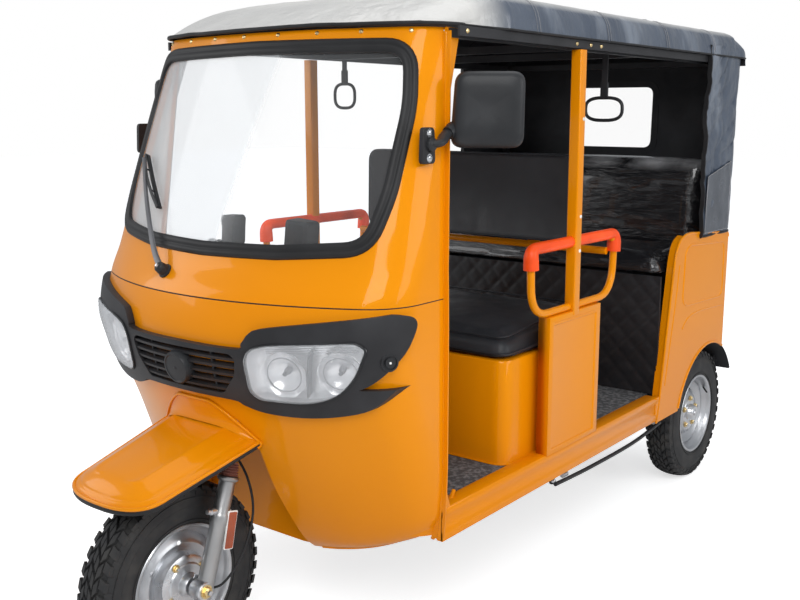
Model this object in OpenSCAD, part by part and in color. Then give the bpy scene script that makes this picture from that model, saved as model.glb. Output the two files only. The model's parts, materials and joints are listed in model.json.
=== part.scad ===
// Three-wheeled passenger auto rickshaw with an open-sided cab and a soft canopy.
// +Z is up, the front faces -Y, and +X is the vehicle's left side.
// The origin lies on the floor, midway between the axles.

/* [Wheels] */
// distance from the front axle to the rear axles
wheelbase = 2370; // [2100:5:2600]
// outer radius of each tyre
tyre_r = 277; // [250:1:300]
// section width of each tyre
tyre_w = 116; // [90:1:130]
// radius of the rim flange
rim_r = 162; // [140:1:180]
// radius of the arches over the rear wheels
arch_r = 312; // [295:1:330]
// tyre centre of each rear wheel from the middle
rear_track_half = 484; // [440:1:520]

/* [Body] */
// half width over the side panels
half_w = 580; // [520:5:650]
// underside of the sills
sill_low = 372; // [330:1:420]
// top of the sills and of the floor
sill_top = 462; // [430:1:500]
// rear edge of the front shell
pillar_y = -720; // [-800:5:-650]
// height of the joint between the lower and the upper shell
seam_z = 1055; // [1000:1:1100]
// how far the pillar's rear edge leans back from the waist to the roof
pillar_lean = 62; // [0:1:100]
// wall of the moulded shells
shell_t = 10; // [6:1:15]

/* [Number plate] */
// distance between the two bolt holes
plate_pitch = 180; // [150:5:220]
// radius of each bolt hole
plate_hole_r = 3.5; // [3:0.1:4]

/* [Canopy] */
// height of the canopy's side hem
hem_z = 1763; // [1700:1:1820]
// height of the canopy's crown
crown_z = 1880; // [1820:1:1950]
// rear face of the canopy
tail_y = 1400; // [1370:1:1430]

/* [Steering] */
// rake of the steering axis from vertical
rake = 12.8; // [8:0.1:25]
// half spacing of the two fork legs
leg_x = 115; // [105:1:125]

/* [Hidden] */
front_y = -wheelbase / 2;
rear_y = wheelbase / 2;
// the steering axis passes this far behind the front wheel's centre
axis_shift = 52;
// the wheel's centre in the tilted frame of the steering axis
leg_y = -axis_shift * cos(rake);
hub_z = -axis_shift * sin(rake);
column_r = 16;
shaft_gap = 0.1;
rail_x = 562;
curtain_y = 1025;
canopy_half = 588;
fine = 96;
smooth = 32;

// Plan sections of the front shell: height, foremost y, half width, corner radius, bow radius.
Z = 0;
FRONT = 1;
HALF = 2;
CORNER = 3;
BOW = 4;
lower_plan = [
    [304, -866, 546, 120, 900],
    [345, -905, 562, 140, 900],
    [450, -962, 575, 160, 900],
    [640, -1035, 580, 160, 900],
    [860, -1112, 580, 160, 950],
    [950, -1124, 580, 160, 1000],
    [1055, -1105, 579, 160, 1000]];
brow_plan = [
    [1055, -1105, 579, 160, 1000],
    [1140, -1052, 577, 150, 1100]];
screen_plan = [
    [1140, -1052, 577, 150, 1100],
    [1758, -797, 537, 140, 1500]];

// Rear side panel outline: y, z, from the sill joint up and round to the tail.
panel_edge = [[684, 366], [703, 441], [795, 990], [822, 1048], [880, 1073], [930, 1076],
    [1342, 1046], [1334, 366]];

// Mudguard sections: y, half width, lower edge height, crown height.
guard_plan = [
    [-1408, 84, 562, 590],
    [-1372, 134, 560, 606],
    [-1295, 164, 590, 637],
    [-1180, 176, 624, 668],
    [-1000, 181, 656, 706]];

module mirror_x() {
    children();
    mirror([1, 0, 0]) children();
}

// One plan section of the shell, grown outwards by g.
module plan_slice(row, g) {
    translate([0, 0, row[Z] - 0.5])
        linear_extrude(1)
            offset(row[CORNER] + g, $fn = fine)
                offset(-row[CORNER])
                    intersection() {
                        translate([-row[HALF], row[FRONT]])
                            square([2 * row[HALF], -row[FRONT] + pillar_y + 300]);
                        translate([0, row[FRONT] + row[BOW]])
                            circle(row[BOW], $fn = 180);
                    }
}

module plan_loft(rows, g) {
    hull()
        for (row = rows)
            plan_slice(row, g);
}

// Everything in front of the shell's rear edge, between two heights.
module cab_zone(z0, z1, back = 0) {
    translate([-700, 0, 0])
        rotate([90, 0, 90])
            linear_extrude(1400)
                polygon([[-1500, z0], [pillar_y - back, z0], [pillar_y - back, min(z1, 1140)],
                    [pillar_y - back + pillar_lean * max(0, z1 - 1140) / 620, z1], [-1500, z1]]);
}

module front_profile(points, y0, y1) {
    translate([0, y1, 0])
        rotate([90, 0, 0])
            linear_extrude(y1 - y0)
                polygon(points);
}

module wheel_opening() {
    front_profile([[-216, 200], [-206, 400], [-184, 520], [-178, 660], [-140, 735],
        [140, 735], [178, 660], [184, 520], [206, 400], [216, 200]], -1300, -700);
}

module lamp_outline(g = 0) {
    offset(g)
        polygon([[238, 832], [262, 812], [394, 814], [460, 838], [510, 898], [534, 960],
            [516, 972], [300, 955], [256, 941], [240, 915]]);
}

module lamp_zone(g = 0) {
    mirror_x()
        translate([0, -820, 0])
            rotate([90, 0, 0])
                linear_extrude(400)
                    lamp_outline(g);
}

module band_zone() {
    front_profile([[-170, 800], [-230, 775], [-360, 768], [-470, 782], [-530, 802], [-576, 850],
        [-600, 960], [-605, 1034], [-560, 1042], [-290, 1000], [-250, 985], [-215, 940],
        [215, 940], [250, 985], [290, 1000], [560, 1042], [605, 1034], [600, 960],
        [576, 850], [530, 802], [470, 782], [360, 768], [230, 775], [170, 800]], -1300, -850);
}

module screen_outline(g) {
    offset(100 + g, $fn = fine)
        offset(-100)
            polygon([[-505, 1157], [505, 1157], [520, 1260], [508, 1600], [493, 1728],
                [-493, 1728], [-508, 1600], [-520, 1260]]);
}

module screen_zone(g) {
    translate([0, -650, 0])
        rotate([90, 0, 0])
            linear_extrude(500)
                screen_outline(g);
}

module chassis_frame() {
    color("#26272a") {
        mirror_x()
            translate([300, -640, 372])
                cube([50, 1940, 68]);
        for (y = [-640, -250, 300, 830, 1250])
            translate([-320, y, 382])
                cube([640, 50, 48]);
        // headstock that carries the steering column, on its post
        on_steering_axis()
            translate([0, 0, 480])
                difference() {
                    cylinder(r = 27, h = 150, $fn = fine);
                    translate([0, 0, -1])
                        cylinder(r = column_r + shaft_gap, h = 152, $fn = fine);
                }
        translate([-20, -982, 800])
            cube([40, 154, 40]);
        translate([-30, -832, 430])
            cube([60, 40, 410]);
        translate([-30, -832, 390])
            cube([60, 240, 44]);
    }
}

module floor_pan() {
    color("#3a3b3d")
        difference() {
            intersection() {
                translate([-522, -836, 441])
                    cube([1044, 1560, 20]);
                union() {
                    plan_loft(lower_plan, -shell_t - 2);
                    translate([-522, -722, 400])
                        cube([1044, 1500, 100]);
                }
            }
            translate([-31, -840, 400])
                cube([62, 50, 100]);
        }
}

module sills() {
    color("#f09a12")
        mirror_x()
            translate([half_w - 56, pillar_y + 2, sill_low])
                difference() {
                    cube([56, 684 - pillar_y - 4, sill_top - sill_low]);
                    translate([-1, -1, -1])
                        cube([50, 2000, 60]);
                }
}

module cab_lower_shell() {
    color("#f09a12")
        difference() {
            intersection() {
                plan_loft(lower_plan, 0);
                cab_zone(300, seam_z);
            }
            intersection() {
                plan_loft(lower_plan, -shell_t);
                cab_zone(300, seam_z + 1, -30);
            }
            wheel_opening();
            lamp_zone(2);
        }
}

module wheel_well() {
    color("#d98a12")
        difference() {
            intersection() {
                translate([-226, -1100, 312])
                    cube([452, 262, 400]);
                plan_loft(lower_plan, -shell_t - 1);
            }
            translate([-218, -1101, 300])
                cube([436, 255, 404]);
            steering_passage(52);
        }
}

module cab_upper_shell() {
    color("#f09a12")
        difference() {
            union() {
                intersection() {
                    plan_loft(brow_plan, 0);
                    cab_zone(seam_z + 2, 1140);
                }
                intersection() {
                    plan_loft(screen_plan, 0);
                    cab_zone(1140, 1757);
                }
            }
            plan_loft(brow_plan, -shell_t);
            plan_loft(screen_plan, -shell_t);
            screen_zone(0);
        }
}

module windscreen_seal() {
    color("#17181a")
        intersection() {
            difference() {
                plan_loft(screen_plan, 6);
                plan_loft(screen_plan, -shell_t - 4);
            }
            difference() {
                screen_zone(-0.5);
                screen_zone(-38);
            }
            cab_zone(1141, 1757);
        }
}

module windscreen_glass() {
    color([0.8, 0.9, 0.95, 0.3])
        intersection() {
            difference() {
                plan_loft(screen_plan, -3);
                plan_loft(screen_plan, -8);
            }
            screen_zone(-38.5);
        }
}

module headlamp_band() {
    color("#202124")
        difference() {
            intersection() {
                plan_loft(lower_plan, 24);
                band_zone();
            }
            plan_loft(lower_plan, 0.5);
            lamp_zone(1);
        }
    // bare round boss in the middle of the grille
    color("#2b2c2f")
        translate([0, -1136, 870])
            rotate([90, 0, 0])
                cylinder(r = 44, h = 24, $fn = fine);
}

module headlamps() {
    color([0.85, 0.88, 0.9, 0.8])
        intersection() {
            difference() {
                plan_loft(lower_plan, 34);
                plan_loft(lower_plan, -40);
            }
            lamp_zone(0);
        }
}

module guard_slice(row, drop) {
    w = row[1] - drop;
    translate([0, row[0] + 0.5, 0])
        rotate([90, 0, 0])
            linear_extrude(1)
                polygon([[-w, row[2] - drop * 4], [-w, row[2]],
                    [-w * 0.62, row[3] - drop], [w * 0.62, row[3] - drop],
                    [w, row[2]], [w, row[2] - drop * 4]]);
}

module front_mudguard() {
    color("#f09a12")
        difference() {
            union() {
                difference() {
                    hull()
                        for (row = guard_plan)
                            guard_slice(row, 0);
                    hull()
                        for (row = guard_plan)
                            translate([0, 6, 0])
                                guard_slice(row, 7);
                }
                // upturned collar that bolts to the shell
                intersection() {
                    plan_loft(lower_plan, 8);
                    front_profile([[-181, 652], [-172, 704], [-138, 748], [-70, 768], [70, 768],
                        [138, 748], [172, 704], [181, 652], [120, 690], [-120, 690]], -1300, -960);
                }
            }
            plan_loft(lower_plan, 1);
            steering_passage(52);
        }
}

module wiper() {
    color("#2a2b2e") {
        translate([-120, -1090, 1100])
            rotate([60, 0, 0])
                cylinder(r = 14, h = 30, $fn = smooth);
        hull() {
            translate([-120, -1106, 1112])
                sphere(7, $fn = smooth);
            translate([-215, -975, 1400])
                sphere(5, $fn = smooth);
        }
    }
}

module mirrors() {
    color("#2b2c2f")
        mirror_x() {
            translate([646, -632, 1546])
                rotate([0, 0, 39])
                    hull()
                        for (x = [-72, 72])
                            for (z = [-72, 72])
                                translate([x, -22, z])
                                    rotate([-90, 0, 0])
                                        cylinder(r = 28, h = 44, $fn = smooth);
            translate([564, -800, 1414])
                cube([10, 56, 88]);
            hull() {
                translate([566, -772, 1448])
                    cube([8, 18, 24]);
                translate([592, -684, 1470])
                    cube([20, 18, 24]);
            }
        }
}

module centre_posts() {
    color("#f09a12")
        mirror_x() {
            translate([540, -160, sill_top + 0.5])
                cube([42, 336, 450]);
            difference() {
                translate([546, -16, sill_top + 440])
                    cube([40, 42, hem_z - sill_top - 444]);
                translate([rail_x, -30, 1135])
                    rotate([-90, 0, 0])
                        cylinder(r = 20.5, h = 80, $fn = smooth);
            }
        }
}

// One rail loop: a rounded D of round tube beside the centre post.
// One rail loop beside the centre post: a round tube bent at four corners.
module rail_loop(r) {
    corners = [[-262, 1135], [310, 1135], [212, 925], [-168, 925]];
    for (i = [0 : 3])
        hull() {
            translate([0, corners[i][0], corners[i][1]])
                sphere(r, $fn = 24);
            translate([0, corners[(i + 1) % 4][0], corners[(i + 1) % 4][1]])
                sphere(r, $fn = 24);
        }
}

module handrails() {
    color("#f09a12")
        mirror_x()
            difference() {
                translate([rail_x, 0, 0])
                    rail_loop(12);
                translate([500, -290, 1105])
                    cube([120, 640, 60]);
                translate([500, -16.5, 900])
                    cube([120, 43, 60]);
            }
}

module handrail_grips() {
    color("#e8431e")
        mirror_x()
            for (span = [[-280, -17], [27, 328]])
                translate([rail_x, span[0], 1135])
                    rotate([-90, 0, 0])
                        cylinder(r = 20, h = span[1] - span[0], $fn = smooth);
}

module driver_seat_box() {
    color("#f09a12")
        difference() {
            translate([-520, -318, sill_top])
                cube([1040, 500, 335]);
            translate([-505, -303, sill_top - 1])
                cube([1010, 470, 321]);
        }
}

module driver_seat_cushion() {
    color("#1f2023")
        translate([-524, 0, 0])
            rotate([90, 0, 90])
                linear_extrude(1048)
                    polygon([[-326, 798], [190, 798], [190, 905], [176, 918], [-310, 870],
                        [-326, 856]]);
}

module driver_backrest() {
    color("#1f2023")
        translate([-455, 200, 1100])
            cube([910, 45, 300]);
}

// Cross tube between the two rail loops with the straps that hold the backrest.
module backrest_frame() {
    color("#f09a12") {
        translate([-549, 272, 1075])
            rotate([0, 90, 0])
                cylinder(r = 13, h = 1098, $fn = smooth);
        mirror_x()
            translate([240, 246, 1068])
                cube([50, 16, 260]);
    }
}

module rear_bench_base() {
    color("#1a1a1c") {
        translate([-552, 725, sill_top])
            cube([1104, 12, 466]);
        difference() {
            translate([-398, 736, sill_top])
                cube([796, 590, 466]);
            translate([-386, 730, sill_top - 1])
                cube([772, 584, 455]);
        }
    }
}

module rear_bench_cushion() {
    color("#1f2023")
        translate([-530, 745, 932])
            cube([1060, 400, 80]);
}

module rear_bench_backrest() {
    color("#1f2023")
        translate([-530, 1160, 932])
            cube([1060, 130, 430]);
}

module quarter_panel_left() {
    color("#f09a12") {
        difference() {
            translate([half_w - 12, 0, 0])
                rotate([90, 0, 90])
                    linear_extrude(12)
                        polygon(panel_edge);
            translate([half_w - 60, rear_y, tyre_r])
                rotate([0, 90, 0])
                    cylinder(r = arch_r, h = 100, $fn = fine);
        }
        // inner wheel housing
        difference() {
            translate([402, rear_y, tyre_r])
                rotate([0, 90, 0])
                    cylinder(r = arch_r + 12, h = 166, $fn = fine);
            translate([412, rear_y, tyre_r])
                rotate([0, 90, 0])
                    cylinder(r = arch_r, h = 170, $fn = fine);
            translate([300, rear_y - 400, -200])
                cube([300, 800, 200 + sill_top - 24]);
            translate([300, rear_y - 460, -200])
                cube([300, 126, 1000]);
            translate([300, 1343, 0])
                cube([300, 400, 800]);
        }
    }
}

module quarter_panel_right() {
    mirror([1, 0, 0])
        quarter_panel_left();
}

module tail_panel() {
    color("#f09a12")
        difference() {
            translate([-566, 1344, 420])
                cube([1132, 12, 626]);
            mirror_x()
                translate([402, 1300, 400])
                    cube([200, 80, 216]);
            // bolt holes for the rear number plate
            mirror_x()
                translate([plate_pitch / 2, 1330, 700])
                    rotate([-90, 0, 0])
                        cylinder(r = plate_hole_r, h = 40, $fn = smooth);
        }
}

module tail_lamps() {
    color("#b3201c")
        mirror_x()
            translate([450, 1357, 640])
                cube([90, 26, 150]);
}

module rear_bumper() {
    color("#1c1d1f") {
        translate([-520, 1425, 470])
            rotate([0, 90, 0])
                cylinder(r = 16, h = 1040, $fn = smooth);
        mirror_x()
            translate([310, 1357, 456])
                cube([40, 60, 28]);
    }
}

module roof_slice(y, side, crown) {
    translate([0, y, 0])
        rotate([90, 0, 0])
            linear_extrude(1)
                polygon([[-side, hem_z], [side, hem_z], [side, hem_z + 20], [side - 22, crown - 34],
                    [side - 90, crown - 8], [0, crown], [-side + 90, crown - 8],
                    [-side + 22, crown - 34], [-side, hem_z + 20]]);
}

module roof_form(g) {
    hull() {
        intersection() {
            translate([0, 0, 3 - g])
                plan_slice([hem_z, -812, 552, 140, 1500], g);
            translate([-700, -1500, 0])
                cube([1400, 1000, 2000]);
        }
        roof_slice(-420, canopy_half - 6 + g, crown_z - 8 + g);
        roof_slice(1270, canopy_half + g, crown_z + g);
        roof_slice(tail_y + g, canopy_half - 6 + g, crown_z - 66 + g);
    }
}

module canopy_roof() {
    color("#3d4754")
        difference() {
            roof_form(0);
            roof_form(-8);
            translate([-canopy_half + 10, -700, hem_z - 20])
                cube([2 * canopy_half - 20, tail_y + 680, 30]);
        }
}

// Side outline of the rear curtain, drawn in by g: its back leans out towards the top.
module curtain_profile(g) {
    rotate([90, 0, 90])
        linear_extrude(2 * (canopy_half - g), center = true)
            polygon([[curtain_y - 9 * g, 1052 - g], [1370 - g, 1052 - g], [1394 - g, hem_z + g],
                [curtain_y - 9 * g, hem_z + g]]);
}

module canopy_curtain() {
    color("#3d4754")
        difference() {
            intersection() {
                curtain_profile(0);
                translate([-700, 0, 0])
                    cube([1400, 2000, hem_z - 0.5]);
            }
            curtain_profile(7.5);
            translate([-200, 1300, 1380])
                cube([400, 200, 280]);
        }
}

module rear_window() {
    color([0.85, 0.9, 0.95, 0.3])
        intersection() {
            difference() {
                curtain_profile(8);
                curtain_profile(11);
            }
            translate([-208, 1300, 1372])
                cube([416, 200, 296]);
        }
}

module canopy_frame() {
    color("#26272a") {
        mirror_x()
            translate([518, -650, hem_z - 32])
                cube([24, 1990, 24]);
        for (y = [-650, 30, 500, 1316])
            translate([-519, y, hem_z - 32])
                cube([1038, 24, 24]);
        mirror_x()
            translate([518, 1316, 950])
                cube([24, 24, hem_z - 950 - 10]);
    }
}

// Two hanging straps: x, y, ring height, ring half length and half height.
module grab_straps() {
    color("#1c1d1f")
        for (strap = [[490, 330, 1552, 69, 38], [-490, 110, 1600, 50, 45]])
            translate([strap[0], strap[1], strap[2]]) {
                translate([-12, -2, strap[4] - 4])
                    cube([24, 4, hem_z - 32 - strap[2] - strap[4] + 4]);
                scale([strap[3] / 50, 1, strap[4] / 50])
                    rotate([90, 0, 0])
                        difference() {
                            cylinder(r = 50, h = 9, center = true, $fn = smooth);
                            cylinder(r = 38, h = 12, center = true, $fn = smooth);
                        }
            }
}

module engine_block() {
    color("#55585c")
        translate([-180, -220, sill_top])
            cube([360, 360, 296]);
}

module rear_axle() {
    color("#2b2c2f") {
        translate([-398, rear_y, tyre_r])
            rotate([0, 90, 0])
                cylinder(r = 30, h = 796, $fn = smooth);
        translate([-rear_track_half - 60, rear_y, tyre_r])
            rotate([0, 90, 0])
                cylinder(r = 14, h = 2 * rear_track_half + 120, $fn = fine);
        translate([-110, rear_y, tyre_r])
            rotate([0, 90, 0])
                cylinder(r = 100, h = 220, $fn = fine);
        mirror_x()
            translate([296, rear_y - 420, tyre_r + 20])
                cube([56, 640, 24]);
        mirror_x()
            for (y = [rear_y - 400, rear_y + 60])
                translate([300, y, tyre_r + 32])
                    cube([48, 40, 62.5]);
    }
}

module brake_rod() {
    color("#3a3b3d") {
        translate([530, -55, 330])
            cube([14, 40, 44]);
        hull() {
            translate([537, -35, 338])
                sphere(7, $fn = smooth);
            translate([520, 830, 330])
                sphere(7, $fn = smooth);
        }
    }
}

module on_steering_axis() {
    translate([0, front_y + axis_shift, tyre_r])
        rotate([-rake, 0, 0])
            children();
}

// Room around the steering column through the panels that it passes.
module steering_passage(r) {
    on_steering_axis()
        translate([0, 0, 300])
            cylinder(r = r, h = 260, $fn = smooth);
}

module front_fork() {
    color("#b9bcc0") {
        on_steering_axis() {
            mirror_x()
                translate([leg_x, leg_y, hub_z - 36]) {
                    cylinder(r = 22, h = 246, $fn = fine);
                    cylinder(r = 16, h = 402, $fn = fine);
                }
            translate([-leg_x - 20, leg_y - 22, 330])
                cube([2 * leg_x + 40, 92, 22]);
            translate([0, 0, 330])
                cylinder(r = column_r, h = 560, $fn = fine);
        }
        // wheel spindle between the legs
        translate([-leg_x - 34, front_y, tyre_r])
            rotate([0, 90, 0])
                cylinder(r = 10, h = 2 * leg_x + 68, $fn = fine);
    }
}

module handlebar() {
    color("#1c1d1f") {
        on_steering_axis()
            difference() {
                translate([-40, -28, 830])
                    cube([80, 64, 44]);
                cylinder(r = column_r + shaft_gap, h = 1000, $fn = fine);
            }
        mirror_x() {
            hull() {
                translate([30, -925, 1118])
                    sphere(11, $fn = 20);
                translate([150, -830, 1146])
                    sphere(11, $fn = 20);
            }
            hull() {
                translate([150, -830, 1146])
                    sphere(11, $fn = 20);
                translate([285, -752, 1136])
                    sphere(15, $fn = 20);
            }
        }
        // switch pod on the right and instrument pod on the left
        translate([-158, -830, 1152])
            cube([56, 48, 88]);
        translate([102, -840, 1152])
            cube([96, 60, 92]);
    }
}

// Route of the front brake cable, from the hub up beside the steering column.
cable_route = [[96, -1150, 262], [122, -1118, 268], [132, -1070, 310], [130, -1022, 375],
    [118, -990, 450], [92, -985, 530], [62, -1002, 600], [44, -1024, 665], [41, -1020, 730],
    [41, -1004, 800], [41, -980, 905], [40, -958, 1000], [33, -941, 1084]];
cable_r = 3.5;
cable_sides = 8;
cable_steps = 5;

// Smooth curve through the route, by Catmull-Rom spans.
function span_point(a, b, c, d, t) =
    0.5 * (2 * b + (c - a) * t + (2 * a - 5 * b + 4 * c - d) * t * t
        + (3 * b - a - 3 * c + d) * t * t * t);
function route_at(p, i) = p[max(0, min(len(p) - 1, i))];
function smooth_route(p) = [
    for (i = [0 : len(p) - 2], k = [0 : cable_steps - 1])
        span_point(route_at(p, i - 1), p[i], p[i + 1], route_at(p, i + 2), k / cable_steps),
    p[len(p) - 1]];
function unit(v) = v / norm(v);

// Closed round tube swept along a list of points.
module swept_tube(path, r, sides) {
    last = len(path) - 1;
    rings = [for (i = [0 : last])
        let (along = unit(path[min(last, i + 1)] - path[max(0, i - 1)]),
            out = unit(cross(along, [1, 0, 0])),
            up = cross(along, out))
        for (k = [0 : sides - 1])
            path[i] + r * (cos(360 * k / sides) * out + sin(360 * k / sides) * up)];
    side_faces = [for (i = [0 : last - 1], k = [0 : sides - 1])
        [i * sides + k, (i + 1) * sides + k,
            (i + 1) * sides + (k + 1) % sides, i * sides + (k + 1) % sides]];
    caps = [[for (k = [0 : sides - 1]) k],
        [for (k = [0 : sides - 1]) (last + 1) * sides - 1 - k]];
    polyhedron(points = rings, faces = concat(side_faces, caps), convexity = 8);
}

module front_brake_cable() {
    color("#17181a")
        swept_tube(smooth_route(cable_route), cable_r, cable_sides);
}

module tyre() {
    rotate([0, 90, 0])
        rotate_extrude($fn = fine)
            difference() {
                translate([rim_r - 6, -tyre_w / 2])
                    offset(26, $fn = smooth)
                        offset(-26)
                            square([tyre_r - rim_r + 6, tyre_w]);
                translate([rim_r - 30, -42])
                    square([60, 84]);
            }
}

// Pressed steel wheel with a hub and its bore.
module road_wheel(hub_half, bore_r) {
    rotate([0, 90, 0])
        rotate_extrude($fn = fine) {
            translate([rim_r - 18, -50])
                square([11.8, 100]);
            translate([bore_r, -8])
                square([rim_r - 10 - bore_r, 16]);
            translate([bore_r, -hub_half])
                square([46, 2 * hub_half]);
        }
}

module front_tyre() {
    color("#202124")
        translate([0, front_y, tyre_r])
            tyre();
}

module front_wheel() {
    color("#c4c7cb")
        translate([0, front_y, tyre_r])
            road_wheel(86, 10.2);
}

module rear_tyre_left() {
    color("#202124")
        translate([rear_track_half, rear_y, tyre_r])
            tyre();
}

module rear_wheel_left() {
    color("#c4c7cb")
        translate([rear_track_half, rear_y, tyre_r])
            road_wheel(52, 14.2);
}

module rear_tyre_right() {
    mirror([1, 0, 0])
        rear_tyre_left();
}

module rear_wheel_right() {
    mirror([1, 0, 0])
        rear_wheel_left();
}

chassis_frame();
floor_pan();
sills();
cab_lower_shell();
wheel_well();
cab_upper_shell();
windscreen_seal();
windscreen_glass();
headlamp_band();
headlamps();
front_mudguard();
wiper();
mirrors();
centre_posts();
handrails();
handrail_grips();
driver_seat_box();
driver_seat_cushion();
driver_backrest();
backrest_frame();
rear_bench_base();
rear_bench_cushion();
rear_bench_backrest();
quarter_panel_left();
quarter_panel_right();
tail_panel();
tail_lamps();
rear_bumper();
canopy_roof();
canopy_curtain();
rear_window();
canopy_frame();
grab_straps();
engine_block();
rear_axle();
brake_rod();
front_fork();
handlebar();
front_brake_cable();
front_tyre();
front_wheel();
rear_tyre_left();
rear_wheel_left();
rear_tyre_right();
rear_wheel_right();
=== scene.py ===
"""Visual model of the auto rickshaw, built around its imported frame. Metres, +Z up, front towards -Y."""

import bisect
import json
import math
import random

import bmesh
import bpy
from mathutils import Matrix, Vector, noise

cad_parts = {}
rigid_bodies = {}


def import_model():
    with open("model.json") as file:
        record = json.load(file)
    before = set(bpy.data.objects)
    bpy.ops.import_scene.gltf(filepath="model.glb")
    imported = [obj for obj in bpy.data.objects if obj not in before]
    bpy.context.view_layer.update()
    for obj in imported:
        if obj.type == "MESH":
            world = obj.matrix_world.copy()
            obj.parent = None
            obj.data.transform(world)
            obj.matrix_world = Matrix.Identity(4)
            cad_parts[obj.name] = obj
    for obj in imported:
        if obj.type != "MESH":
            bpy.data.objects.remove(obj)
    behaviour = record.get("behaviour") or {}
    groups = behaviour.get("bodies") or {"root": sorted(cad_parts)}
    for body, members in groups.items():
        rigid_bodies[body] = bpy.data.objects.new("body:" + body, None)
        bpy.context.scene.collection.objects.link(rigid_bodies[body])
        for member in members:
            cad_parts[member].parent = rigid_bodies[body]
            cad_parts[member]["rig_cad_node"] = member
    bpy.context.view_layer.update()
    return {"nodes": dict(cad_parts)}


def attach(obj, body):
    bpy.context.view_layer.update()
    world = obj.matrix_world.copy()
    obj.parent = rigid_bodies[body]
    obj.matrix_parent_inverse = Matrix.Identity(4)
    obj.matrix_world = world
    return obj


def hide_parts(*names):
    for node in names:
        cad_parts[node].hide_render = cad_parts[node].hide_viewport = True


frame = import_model()

# ---------------------------------------------------------------- camera and studio

camera_data = bpy.data.cameras.new("camera")
camera = bpy.data.objects.new("camera", camera_data)
bpy.context.scene.collection.objects.link(camera)
bpy.context.scene.camera = camera
camera.location = (2.109, -2.850, 1.538)
camera.rotation_euler = (math.radians(79.68), math.radians(-0.15), math.radians(37.01))
camera_data.lens = 45.5
camera_data.shift_x = -0.0273
camera_data.shift_y = -0.0039
camera_data.clip_start = 0.05
bpy.context.scene.view_settings.view_transform = "Standard"

# Where the steering axis passes the front axle's height, and the slope that it leans back by.
RAKE = math.radians(12.8)
AXIS_BASE = Vector((0, -1.133, 0.277))
AXIS_DIR = Vector((0, math.sin(RAKE), math.cos(RAKE)))
FRONT_HUB = Vector((0, -1.185, 0.277))
REAR_AXLE_Y = 1.185
WHEEL_X = 0.484
WHEEL_Z = 0.277
SILL_TOP = 0.462
RAIL_X = 0.562
HEM_Z = 1.763
CLOTH_THICKNESS = 0.0022
SHELL_INNER = -0.007
# How far cutters for the cab's front reach, in y.
CUT_FRONT_Y, CUT_REAR_Y = -1.4, -0.66


def area_light(name, place, target, size, power):
    data = bpy.data.lights.new(name, "AREA")
    data.shape = "RECTANGLE"
    data.size, data.size_y = size
    data.energy = power
    lamp = bpy.data.objects.new(name, data)
    bpy.context.scene.collection.objects.link(lamp)
    lamp.location = place
    lamp.rotation_euler = (Vector(target) - Vector(place)).to_track_quat("-Z", "Y").to_euler()


def studio():
    area_light("key_light", (3.4, -4.2, 4.2), (0, -0.3, 0.9), (3.0, 2.2), 150)
    area_light("side_light", (5.2, 0.6, 2.6), (0, 0.2, 0.8), (3.5, 2.0), 75)
    area_light("fill_light", (-4.2, -3.4, 3.0), (0, -0.4, 0.9), (3.0, 2.4), 60)
    area_light("top_light", (0, 0.4, 5.0), (0, 0.2, 1.0), (4.0, 4.0), 60)
    world = bpy.data.worlds.new("studio_world")
    bpy.context.scene.world = world
    world.use_nodes = True
    nodes, links = world.node_tree.nodes, world.node_tree.links
    nodes.clear()
    out = nodes.new("ShaderNodeOutputWorld")
    seen = nodes.new("ShaderNodeBackground")
    seen.inputs["Color"].default_value = (1, 1, 1, 1)
    seen.inputs["Strength"].default_value = 1.0
    lit = nodes.new("ShaderNodeBackground")
    lit.inputs["Color"].default_value = (0.93, 0.96, 1.0, 1)
    lit.inputs["Strength"].default_value = 0.5
    path = nodes.new("ShaderNodeLightPath")
    either = nodes.new("ShaderNodeMath")
    either.operation = "MAXIMUM"
    mix = nodes.new("ShaderNodeMixShader")
    links.new(path.outputs["Is Camera Ray"], either.inputs[0])
    links.new(path.outputs["Is Transmission Ray"], either.inputs[1])
    links.new(either.outputs[0], mix.inputs[0])
    links.new(lit.outputs[0], mix.inputs[1])
    links.new(seen.outputs[0], mix.inputs[2])
    links.new(mix.outputs[0], out.inputs["Surface"])
    floor_mesh = bpy.data.meshes.new("studio_floor")
    reach = 30
    floor_mesh.from_pydata([(-reach, -reach, 0), (reach, -reach, 0), (reach, reach, 0), (-reach, reach, 0)],
                           [], [(0, 1, 2, 3)])
    floor = bpy.data.objects.new("studio_floor", floor_mesh)
    bpy.context.scene.collection.objects.link(floor)
    pale = bpy.data.materials.new("studio_floor")
    pale.use_nodes = True
    nodes, links = pale.node_tree.nodes, pale.node_tree.links
    shader = nodes["Principled BSDF"]
    shader.inputs["Base Color"].default_value = (0.86, 0.86, 0.86, 1)
    shader.inputs["Roughness"].default_value = 0.9
    glow = nodes.new("ShaderNodeEmission")
    glow.inputs["Strength"].default_value = 0.62
    path = nodes.new("ShaderNodeLightPath")
    dark = nodes.new("ShaderNodeEmission")
    dark.inputs["Strength"].default_value = 0.0
    pick = nodes.new("ShaderNodeMixShader")
    total = nodes.new("ShaderNodeAddShader")
    links.new(path.outputs["Is Camera Ray"], pick.inputs[0])
    links.new(dark.outputs[0], pick.inputs[1])
    links.new(glow.outputs[0], pick.inputs[2])
    links.new(shader.outputs[0], total.inputs[0])
    links.new(pick.outputs[0], total.inputs[1])
    links.new(total.outputs[0], nodes["Material Output"].inputs["Surface"])
    floor_mesh.materials.append(pale)


studio()

# ---------------------------------------------------------------- materials


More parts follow.
